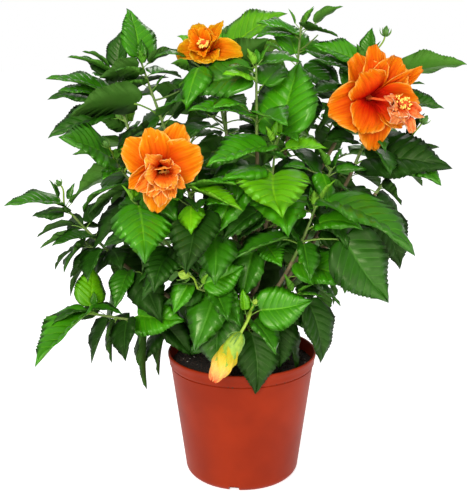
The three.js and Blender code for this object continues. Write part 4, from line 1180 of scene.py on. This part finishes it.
petalSize = {
    "rows": 30, "columns": 31, "thickness": 0.35, "base": 0.14, "claw": 1.1, "fullAt": 0.74, "narrowing": 0.12,
    "round": 0.44, "uneven": 0.16, "ruffle": 0.15, "pleat": 0.05, "crinkle": 0.075, "curl": 0.1, "ragged": 0.06,
    "smallRuffle": 1.2, "smallLean": 1.3,
}
petalPaint = {  # stretches are across and along the petal
    "streakStretch": (16, 1.1, 1), "streakScale": 1.6, "shift": 0.34, "stops": (0.3, 0.43, 0.58, 0.76, 0.91, 1.0),
    "lineStretch": (34, 1.6, 1), "lineScale": 1.4, "lineFrom": 0.5, "lineTo": 0.66, "lineMost": 0.5,
    "relief": 0.5, "depth": 0.0006, "roughness": 0.65, "level": 0.04,
    "subsurface": 0.2, "subsurfaceRadius": (1.0, 0.35, 0.1), "subsurfaceScale": 0.003,
}
# Petals and petaloids are (turn, reach, width, lift, flare, lean of the edge, cup).
# The column's end is (aside, up, out).
blooms = [
    {"name": "bloom_left", "shoot": "left_mid", "share": 0.9, "at": (-90, -112, 417), "heading": -80, "rise": 0,
     "radius": 48, "columnEnd": (0.1, -0.2, 0.3), "petaloidAt": 0.1, "streak": "cc4604",
     "throat": ("a02004", "c63804"), "body": ("d45204", "da6c04"), "edge": ("e0860e", "f4b054"),
     "small": ("e06418", "ea8a2a", "fac67c"),
     "petals": [
         (143, 1.0, 1.0, 0.14, -0.06, 0.2, -0.05), (62, 1.1, 0.9, 0.12, -0.08, 0.1, 0.05),
         (20, 1.0, 1.14, 0.3, 0.06, 0.3, 0.05), (103, 0.98, 0.84, 0.38, 0.14, -0.2, -0.1),
         (209, 0.86, 0.6, 0.3, 0.14, 0.5, 0.1), (262, 1.06, 0.76, 0.3, 0.02, -0.3, 0.05)],
     "petaloids": [
         (136, 0.52, 0.5, 0.8, 0.6, 0.2, -0.3), (300, 0.38, 0.5, 0.8, 0.8, 0.4, -0.2),
         (66, 0.36, 0.32, 0.85, 0.85, -0.3, -0.2), (268, 0.3, 0.46, 1.0, 1.0, 0.2, -0.35),
         (96, 0.16, 0.4, 1.0, 1.06, -0.2, -0.3), (186, 0.42, 0.52, 0.86, 0.84, 0.3, -0.3),
         (215, 0.72, 0.44, 0.5, 0.48, 0.8, 0.2), (240, 0.64, 0.42, 0.6, 0.55, -0.9, 0.1),
         (264, 0.82, 0.46, 0.46, 0.42, 0.7, -0.2), (290, 0.68, 0.4, 0.55, 0.5, -0.8, 0.2),
         (322, 0.6, 0.38, 0.6, 0.55, 0.9, -0.1), (196, 0.42, 0.36, 0.72, 0.7, -1, 0.2),
         (250, 0.42, 0.42, 0.78, 0.74, 1, 0.3), (14, 0.38, 0.34, 0.78, 0.8, 0.8, 0.1)]},
    {"name": "bloom_top", "shoot": "top_left", "share": 0.99, "at": (-41, -38, 542), "heading": -100, "rise": 25,
     "radius": 38, "columnEnd": (0, 0.1, 0.42), "petaloidAt": 0.1, "streak": "a85204",
     "throat": ("cc4604", "d45604"), "body": ("d06204", "d07c06"), "edge": ("cc9208", "e2ae38"),
     "small": ("d65a06", "dc7c08", "e6a424"),
     "petals": [
         (356, 1.14, 0.76, 0.34, 0.06, 0.5, 0.1), (62, 1.0, 0.5, 0.44, 0.16, -0.4, 0),
         (116, 0.84, 0.74, 0.5, 0.26, 0.5, 0), (186, 0.98, 0.74, 0.36, 0.06, -0.5, 0.1),
         (250, 0.52, 0.8, 0.4, 0.2, 0.5, 0), (300, 0.54, 0.8, 0.4, 0.2, -0.5, 0)],
     "petaloids": [
         (88, 0.56, 0.6, 0.62, 0.42, 0.6, 0.2), (140, 0.5, 0.5, 0.7, 0.6, -0.6, -0.2),
         (210, 0.5, 0.46, 0.66, 0.55, 0.6, 0.2), (20, 0.46, 0.44, 0.7, 0.6, -0.9, 0.2),
         (280, 0.44, 0.5, 0.7, 0.6, 0.9, 0.1), (70, 0.34, 0.4, 0.8, 0.8, 1, 0)]},
    {"name": "bloom_right", "shoot": "upper_right", "share": 0.99, "at": (149, -60, 490), "heading": -80, "rise": 0,
     "radius": 58, "columnEnd": (0.5, -0.08, 0.6), "petaloidAt": 0.75, "streak": "b42c04",
     "throat": ("9a0802", "c01802"), "body": ("c63802", "cc5203"), "edge": ("d07006", "e8a048"),
     "small": ("d24a14", "e48448", "f8caa0"),
     "petals": [
         (115, 0.92, 0.72, 0.22, 0.0, -0.2, -0.05), (92, 1.02, 0.6, 0.28, 0.06, 0.2, -0.05),
         (30, 1.16, 0.36, 0.24, 0.0, 0.3, 0.08), (54, 0.98, 0.86, 0.28, 0.06, 0.2, 0.05),
         (197, 0.98, 1.0, 0.3, 0.06, 0.3, 0.05), (272, 1.04, 0.76, 0.26, 0.0, -0.1, -0.05),
         (350, 0.94, 0.86, 0.34, 0.12, 0.3, 0.1), (244, 0.72, 0.84, 0.4, 0.24, -0.2, -0.05),
         (122, 0.6, 0.92, 0.5, 0.24, 0, -0.2), (318, 0.84, 0.5, 0.3, 0.12, 0.2, 0.1)],
     "petaloids": [
         (160, 0.3, 0.24, 0.2, 0.1, 0.3, -0.2), (200, 0.24, 0.32, 0.3, 0.3, -0.6, -0.3),
         (250, 0.42, 0.32, 0.3, 0.2, 0.6, -0.3), (292, 0.62, 0.24, 0.3, 0.2, 0.6, -0.2),
         (330, 0.5, 0.3, 0.3, 0.2, -0.6, 0.2), (232, 0.3, 0.3, 0.4, 0.36, 0.8, 0.2),
         (272, 0.36, 0.26, 0.4, 0.36, -0.8, 0.1)]},
]


# Colour along a petal from throat to rim, drawn out in streaks along it, from the petal's own UV map.
def petalFinish(name, throat, body, edge, streak):
    paint = petalPaint
    made, tree, shader = newFinish(name)
    place = tree.nodes.new("ShaderNodeTexCoord").outputs["UV"]

    def strokes(stretch, scale, detail):
        drawn = addNode(tree, "ShaderNodeMapping", None, vector=place, scale=stretch).outputs["Vector"]
        return addNode(tree, "ShaderNodeTexNoise", None, vector=drawn, scale=scale, detail=detail).outputs["Fac"]

    streaks = strokes(paint["streakStretch"], paint["streakScale"], 4)
    along = addNode(tree, "ShaderNodeSeparateXYZ", None, vector=place).outputs["Y"]
    shift = addMath(tree, "MULTIPLY_ADD", streaks, paint["shift"], -paint["shift"] / 2)
    ramp = addNode(tree, "ShaderNodeValToRGB", None, fac=addMath(tree, "ADD", along, shift))
    for position in paint["stops"][1:-1]:
        ramp.color_ramp.elements.new(position)
    for stop, position, colour in zip(ramp.color_ramp.elements, paint["stops"], (*throat, *body, *edge)):
        stop.position, stop.color = position, linear(colour)
    amount = addNode(tree, "ShaderNodeMapRange", None, value=strokes(paint["lineStretch"], paint["lineScale"], 2),
                     fromMin=paint["lineFrom"], fromMax=paint["lineTo"], toMax=paint["lineMost"])
    drawnOver = addNode(tree, "ShaderNodeMix", {"data_type": "RGBA"}, factor=amount.outputs["Result"],
                        a=ramp.outputs["Color"], b=linear(streak))
    bump = addNode(tree, "ShaderNodeBump", None, height=streaks, strength=paint["relief"], distance=paint["depth"])
    setInputs(tree, shader, baseColor=drawnOver.outputs["Result"], normal=bump.outputs["Normal"],
              roughness=paint["roughness"], specularIORLevel=paint["level"], subsurfaceWeight=paint["subsurface"],
              subsurfaceRadius=paint["subsurfaceRadius"], subsurfaceScale=paint["subsurfaceScale"])
    return made


# Where a bloom's throat is, its radius, the way it faces, and its two directions across that.
def bloomFrame(bloom):
    axis, side = compass(bloom["heading"], bloom["rise"]), compass(bloom["heading"] + 90)
    return Vector(bloom["at"]), bloom["radius"], axis, side, axis.cross(side)


# One petal as a sheet: its points, its faces, and how far across and along each point lies.
def petalSheet(bloom, turn, reach, width, lift, flare, lean, cup, seed, small):
    throat, radius, axis, side, over = bloomFrame(bloom)
    if small:
        aside, up, reached = bloom["columnEnd"]
        throat += (side * aside + over * up + axis * reached) * (radius * bloom["petaloidAt"])
    out = side * math.cos(math.radians(turn)) + over * math.sin(math.radians(turn))
    across = axis.cross(out)
    path = ((-0.3, 0.03), (0.1, 0.1), (lift, 0.45 * reach), (flare, reach))
    spine = Curve(*(throat + axis * (forward * radius) + out * (outward * radius) for forward, outward in path))
    rows, columns, size = petalSize["rows"], petalSize["columns"], petalSize
    ruffled, leaning = (size["smallRuffle"], size["smallLean"]) if small else (1, 1)
    points, places = [], []
    for i in range(rows):
        along = i / (rows - 1)
        for j in range(columns):
            t = 2 * j / (columns - 1) - 1
            s = along * (1 - size["round"] * (1 - math.sqrt(1 - t * t)))
            claw = math.sin(math.pi / 2 * min(1, (s + 0.02) / size["fullAt"])) ** size["claw"]
            half = 0.5 * radius * max(size["base"], width * claw)
            half *= 1 - size["narrowing"] * max(0, s - size["fullAt"]) / (1 - size["fullAt"])
            half *= 1 + size["uneven"] * t * t * wobble(s * 5, seed * 2.2, math.copysign(4, t))
            rim = max(abs(t) ** 4 * s, along ** 4)
            ruffle = wobble(t * 1.8, s * 2.0, seed * 7.3) + 0.5 * wobble(t * 4.5, s * 4, seed * 3.1)
            pleat = wobble(t * 6.5, s * 1.4, seed * 4.7)
            crinkle = wobble(t * 9 * width, s * 7, seed * 2.9)
            above = size["ruffle"] * ruffle * s * ruffled + size["pleat"] * pleat * s + size["crinkle"] * crinkle * rim
            above += size["curl"] * s * (t * t + lean * leaning * t)
            above += cup * math.sin(math.pi * min(1, s)) ** 0.7 * (t * t - 0.4)
            ragged = wobble(t * 2.4, seed * 5.1, 1) + 0.3 * wobble(t * 9 * width, seed * 5.1, 7)
            s *= 1 + size["ragged"] * ragged * along ** 4
            place = spine.at(min(s, 1.0)) + out * (max(0, s - 1) * radius)
            points.append(place + across * (t * half) + axis * (above * radius))
            places.append((0.5 + 0.5 * t * max(0.4, width) + seed * 0.37, 0.12 * abs(t) ** 3 + along * 0.94))
    faces = [(i * columns + j, i * columns + j + 1, (i + 1) * columns + j + 1, (i + 1) * columns + j)
             for i in range(rows - 1) for j in range(columns - 1)]
    return points, faces, places


def petalsPiece(bloom):
    points, faces, places, finishes = [], [], [], []
    for k, petal in enumerate(bloom["petals"] + bloom["petaloids"]):
        small = k >= len(bloom["petals"])
        some, others, spots = petalSheet(bloom, *petal, k + 1, small)
        faces += [tuple(len(points) + v for v in face) for face in others]
        finishes += [int(small)] * len(others)
        points += some
        places += spots
    mesh = meshOf(bloom["name"] + "Petals", points, faces)
    mapPlaces(mesh, places)
    foot, middle, rim = bloom["small"]
    for title, *colours in (("Colour", bloom["throat"], bloom["body"], bloom["edge"]),
                            ("Petaloid", (bloom["throat"][1], foot), (foot, middle), (middle, rim))):
        mesh.materials.append(petalFinish(bloom["name"] + title, *colours, bloom["streak"]))
    mesh.polygons.foreach_set("material_index", finishes)
    piece = pieceOf(bloom["name"] + "_petals", mesh, "petal", [bloom["name"]])
    wall = piece.modifiers.new("wall", "SOLIDIFY")
    wall.thickness, wall.offset = petalSize["thickness"] * metre, 0
    return piece


for bloom in blooms:
    petalsPiece(bloom)
print("petals made")

# calyx and epicalyx of a bloom or bud, the small buds, and their stalks

sepals = {"sides": 40, "ribs": 5, "ribDepth": 0.07, "lobesFrom": 0.5, "stalkSides": 8, "stalkStep": 4,
          "foot": 0.62, "length": 0.32, "radius": 6.8, "spread": 0.5, "stalk": (1.3, 1.8),
          "budRadius": 0.3, "budSpread": -0.3, "budStalk": (1.2, 1.0),
          "bracts": 7, "bractLength": 12, "bractGirth": 0.8, "budBractLength": 0.75, "budBractGirth": 0.6,
          "bractPath": [(0.45, 0.05), (0.8, 0.45), (0.75, 0.95)],  # outward and forward
          "bractSwell": [(0, 1.1), (0.25, 1.25), (0.5, 1.1), (0.75, 0.8), (1, 0.25)],  # place, girth
          "cup": [(-0.02, 0.12), (0.04, 0.5), (0.16, 0.82), (0.34, 1.0), (0.55, 0.98)],  # share of length, of radius
          "finishes": [
              surface("calyxGreen", "7c9e24", "94b02c", 200, (0.5, 0.65), 0.4, 700),
              surface("bractGreen", "4f7a26", "6a9434", 200, (0.5, 0.65), 0.3, 700),
              surface("budGreen", "3c6a1e", "54822a", 200, (0.5, 0.65), 0.4, 700),
          ]}


def frameOf(axis):
    axis = axis.normalized()
    side = axis.cross(Vector((0.2, 0.3, 1))).normalized()
    return axis, side, axis.cross(side)


# A ribbed cup that ends in pointed lobes, spread by a share of its radius or, below 0, closed over the bud.
def calyxShape(base, axis, length, radius, spread):
    axis, side, over = frameOf(axis)
    sides, lobesFrom = sepals["sides"], sepals["lobesFrom"]
    stations = sepals["cup"] + [(0.75, 0.8 + spread * 0.4), (1.0, 0.34 + spread)]
    points = []
    for s, r in stations:
        for turn in turnsOf(sides):
            lobe = 1 - abs(math.sin(turn * sepals["ribs"] / 2))
            reach = s if s < lobesFrom else mix(lobesFrom if spread > 0 else 0.8 * s, s, lobe)
            out = radius * r * (1 + sepals["ribDepth"] * (lobe - 0.5))
            points.append(around(base + axis * (length * reach), side, over, turn, out))
    return points, tubeFaces(len(stations), sides)


# Narrow bracts that curve away from the foot of the calyx.
def bractLines(base, axis, length, girth, seed):
    axis, side, over = frameOf(axis)
    made = []
    for k in range(sepals["bracts"]):
        turn = 2 * math.pi * (k + 0.3 * math.sin(seed + k * 2.1)) / sepals["bracts"]
        out = side * math.cos(turn) + over * math.sin(turn)
        path = [base + out * (aside * length) + axis * (ahead * length) for aside, ahead in sepals["bractPath"]]
        bend, swell = Curve(base, *path), sepals["bractSwell"]
        made.append(([bend.at(share) for share, _ in swell], [girth * wide for _, wide in swell], 1))
    return made


greenShapes, budShapes, greenLines = [], [], []


def growStalk(points, girths):
    greenLines.append(curveLine(Curve(*points), 0, 1, *girths, 0, sepals["stalkStep"]))


for bloom in blooms:
    throat, radius, axis, side, over = bloomFrame(bloom)
    foot = throat - axis * (sepals["foot"] * radius)
    greenShapes.append(calyxShape(foot, axis, sepals["length"] * radius, sepals["radius"], sepals["spread"]))
    greenLines += bractLines(foot, axis, sepals["bractLength"], sepals["bractGirth"], radius)
    root = curves[bloom["shoot"]].at(bloom["share"])
    growStalk([root, root + Vector((0, 0, 14)), throat - axis * (1.1 * radius), foot], sepals["stalk"])

# opening bud: furled petals that wind round each other, in a calyx on a bent stalk
opening = {"calyx": (-7, -130, 221), "tip": (-33, -138, 177), "shoot": "front_low", "share": 0.98, "turns": 0.55,
           "petals": 5, "rows": 34, "sides": 60, "radius": 12.2, "fold": 0.26, "streak": "d05a18", "root": -0.12,
           "profile": [(-0.12, 0.35), (0.12, 0.72), (0.4, 1.0), (0.62, 0.98), (0.82, 0.76), (0.95, 0.5), (1.0, 0.3)],
           "throat": ("b4ac28", "dcbc44"), "body": ("e8bc60", "e69a58"), "edge": ("dc6a3c", "c43a18"),
           "foot": 0.22, "calyxLength": 0.92, "calyxRadius": 10.6, "calyxSpread": 0.72,
           "bractLength": 15, "stalk": (1.4, 1.8)}


def openingBud():
    start = Vector(opening["calyx"])
    axis, side, over = frameOf(Vector(opening["tip"]) - start)
    length = (Vector(opening["tip"]) - start).length
    rows, sides, profile = opening["rows"], opening["sides"], opening["profile"]
    points, places = [], []
    for i in range(rows):
        s = mix(opening["root"], 1.0, i / (rows - 1))
        low, high = next((a, b) for a, b in zip(profile, profile[1:]) if s <= b[0] + 1e-6)
        radius = opening["radius"] * mix(low[1], high[1], (s - low[0]) / (high[0] - low[0]))
        for turn in turnsOf(sides):
            wound = (opening["petals"] * (turn / (2 * math.pi) + opening["turns"] * max(0, s) ** 1.3)) % 1
            out = radius * (1 + opening["fold"] * (wound - 0.45) + 0.03 * wobble(turn * 2, s * 6, 2))
            ruffle = 0.05 * max(0, s - 0.8) * 5 * math.sin(turn * 9 + 1)
            points.append(around(start + axis * (length * (s + ruffle * 0.5)), side, over, turn, out))
            places.append((turn * 1.1, 0.12 + 0.82 * max(0, s) ** 1.5 - 0.3 * max(0, wound - 0.8) * 5 * s))
    faces, last = tubeFaces(rows, sides)[:-1], (rows - 1) * sides
    faces += [(last + k, last + (k + 1) % sides, rows * sides) for k in range(sides)]  # to a point sunk in the tip
    points.append(start + axis * (length * 0.93))
    places.append((0, 0.9))
    mesh = meshOf("openingBud", points, faces)
    mapPlaces(mesh, places)
    mesh.materials.append(petalFinish("openingBudColour", opening["throat"], opening["body"], opening["edge"],
                                      opening["streak"]))
    pieceOf("opening_bud_petals", mesh, "bud", ["opening_bud"])
    foot = start - axis * (opening["foot"] * length)
    greenShapes.append(calyxShape(foot, axis, opening["calyxLength"] * length, opening["calyxRadius"],
                                  opening["calyxSpread"]))
    greenLines.extend(bractLines(foot, axis, opening["bractLength"], sepals["bractGirth"], 2))
    root = curves[opening["shoot"]].at(opening["share"])
    bend = root.lerp(start - axis * length, 0.4) + Vector((0, 0, 6))
    growStalk([root, bend, start - axis * (0.8 * length), foot], opening["stalk"])


openingBud()

# small buds: the shoot that each leaves, its place, the way it points, and its length
smallBuds = [
    ("top_right", (170, -8, 560), (0.1, -0.2, 1), 13), ("right_far", (216, -20, 458), (0.5, -0.4, 0.9), 13),
    ("left_far", (-218, -36, 386), (-0.5, -0.4, 0.8), 9), ("left_mid", (-152, -78, 436), (-0.5, -0.4, 0.8), 10),
    ("front_left_low", (-60, -122, 296), (-0.6, -0.6, 0.3), 17), ("front_low", (14, -118, 262), (0.2, -0.6, 0.7), 10),
    ("back_left", (-164, 132, 470), (-0.2, 0.3, 0.9), 11), ("back_right", (142, 138, 488), (0.2, 0.3, 0.9), 11),
    ("back_top", (-22, 132, 566), (0.1, 0.3, 0.9), 12),
]
for k, (name, place, direction, length) in enumerate(smallBuds):
    place, direction = Vector(place), Vector(direction).normalized()
    root = curves[name].at(0.985)
    shapes = greenShapes if name.startswith("front") else budShapes
    shapes.append(calyxShape(place, direction, length, length * sepals["budRadius"], sepals["budSpread"]))
    greenLines += bractLines(place, direction, length * sepals["budBractLength"], sepals["budBractGirth"], k)
    before = place - direction * (0.3 * (place - root).length)
    growStalk([root, root.lerp(place, 0.4) + Vector((0, 0, 3)), before, place], sepals["budStalk"])

calyxMesh = meshOf("calyxes", *joined(greenShapes + budShapes))
for finish, shapes in ((0, greenShapes), (2, budShapes)):
    calyxMesh.materials.append(sepals["finishes"][finish])
counts = [sum(len(faces) for points, faces in shapes) for shapes in (greenShapes, budShapes)]
calyxMesh.polygons.foreach_set("material_index", [0] * counts[0] + [1] * counts[1])
pieceOf("calyxes", calyxMesh, "bud", ["opening_bud"])
stalkTree = tubeTree("stalkLines", sepals["finishes"][:2])
stalksMade = grownFrom("stalks_and_bracts", linesMesh("stalkLines", greenLines), *stalkTree,
                       {"Sides": sepals["stalkSides"]})
pieceOf("stalks_and_bracts", stalksMade, "bud", ["opening_bud"])

# columns with anthers: filaments strewn over a tube, each with a grain at its end

stamens = {"count": 44, "filament": 7.0, "grain": 0.0013, "girth": 0.28, "sides": 6, "seed": 3, "strewnSeed": 9173,
           "from": 0.8, "flare": [(0.3, 6.5), (0.2, 4.4), (0.12, 2.6), (0.04, 1.7)],  # behind the throat, girth there
           "finishes": [
               surface("columnRed", "e8531c", "f07a34", 300, (0.5, 0.6), 0.3, 900),
               surface("antherYellow", "f6cf3c", "f9e07a", 900, (0.7, 0.9), 0.6, 2500),
           ]}


def antherTree():
    tree, sockets, start, end = newTree("antherGrains", {"Grain": "Float"})
    grain = addNode(tree, "GeometryNodeMeshIcoSphere", None, radius=start.outputs["Grain"], subdivisions=2)
    put = addNode(tree, "GeometryNodeInstanceOnPoints", None, points=start.outputs["Geometry"],
                  instance=grain.outputs["Mesh"], rotation=anyTurn(tree, stamens["seed"]), scale=(1.25, 0.8, 0.8))
    real = addNode(tree, "GeometryNodeRealizeInstances", None, geometry=put.outputs["Instances"])
    smooth = addNode(tree, "GeometryNodeSetShadeSmooth", None, geometry=real.outputs["Geometry"], shadeSmooth=True)
    done = addNode(tree, "GeometryNodeSetMaterial", None, geometry=smooth.outputs["Geometry"],
                   material=stamens["finishes"][1])
    tree.links.new(done.outputs["Geometry"], end.inputs["Geometry"])
    return tree, sockets


antherLines, grains = [], []
random = randomFrom(stamens["strewnSeed"])
for bloom in blooms:
    throat, radius, axis, side, over = bloomFrame(bloom)
    aside, up, reach = bloom["columnEnd"]
    column = Curve(throat - axis * (0.05 * radius), throat + axis * (0.35 * radius),
                   throat + (side * aside + over * up + axis * reach) * radius)
    antherLines.append(curveLine(column, 0, 1, 1.7, 0.9, 0, 3))
    flare = stamens["flare"]
    antherLines.append(([throat - axis * (back * radius) for back, _ in flare], [wide for _, wide in flare], 0))
    for k in range(stamens["count"]):
        share = mix(stamens["from"], 1, random())
        turn = random() * 2 * math.pi
        foot = column.at(share)
        out = side * math.cos(turn) + over * math.sin(turn) + axis * (0.3 + 0.5 * random())
        end = foot + out.normalized() * (stamens["filament"] * (0.6 + 0.6 * random()))
        antherLines.append(([foot, foot.lerp(end, 0.5) + axis * 0.3, end], [stamens["girth"]] * 3, 0))
        grains.append(end)
columnTree = tubeTree("columnLines", stamens["finishes"])
columnsMade = grownFrom("bloom_columns", linesMesh("columnLines", antherLines), *columnTree,
                      {"Sides": stamens["sides"]})
pieceOf("bloom_columns", columnsMade, "petal", ["bloom_left", "bloom_top", "bloom_right"])
anthersMade = grownFrom("bloom_anthers", meshOf("antherPoints", grains, []), *antherTree(),
                        {"Grain": stamens["grain"]})
pieceOf("bloom_anthers", anthersMade, "petal", ["bloom_left", "bloom_top", "bloom_right"])
print("blooms and buds made")

low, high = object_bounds()
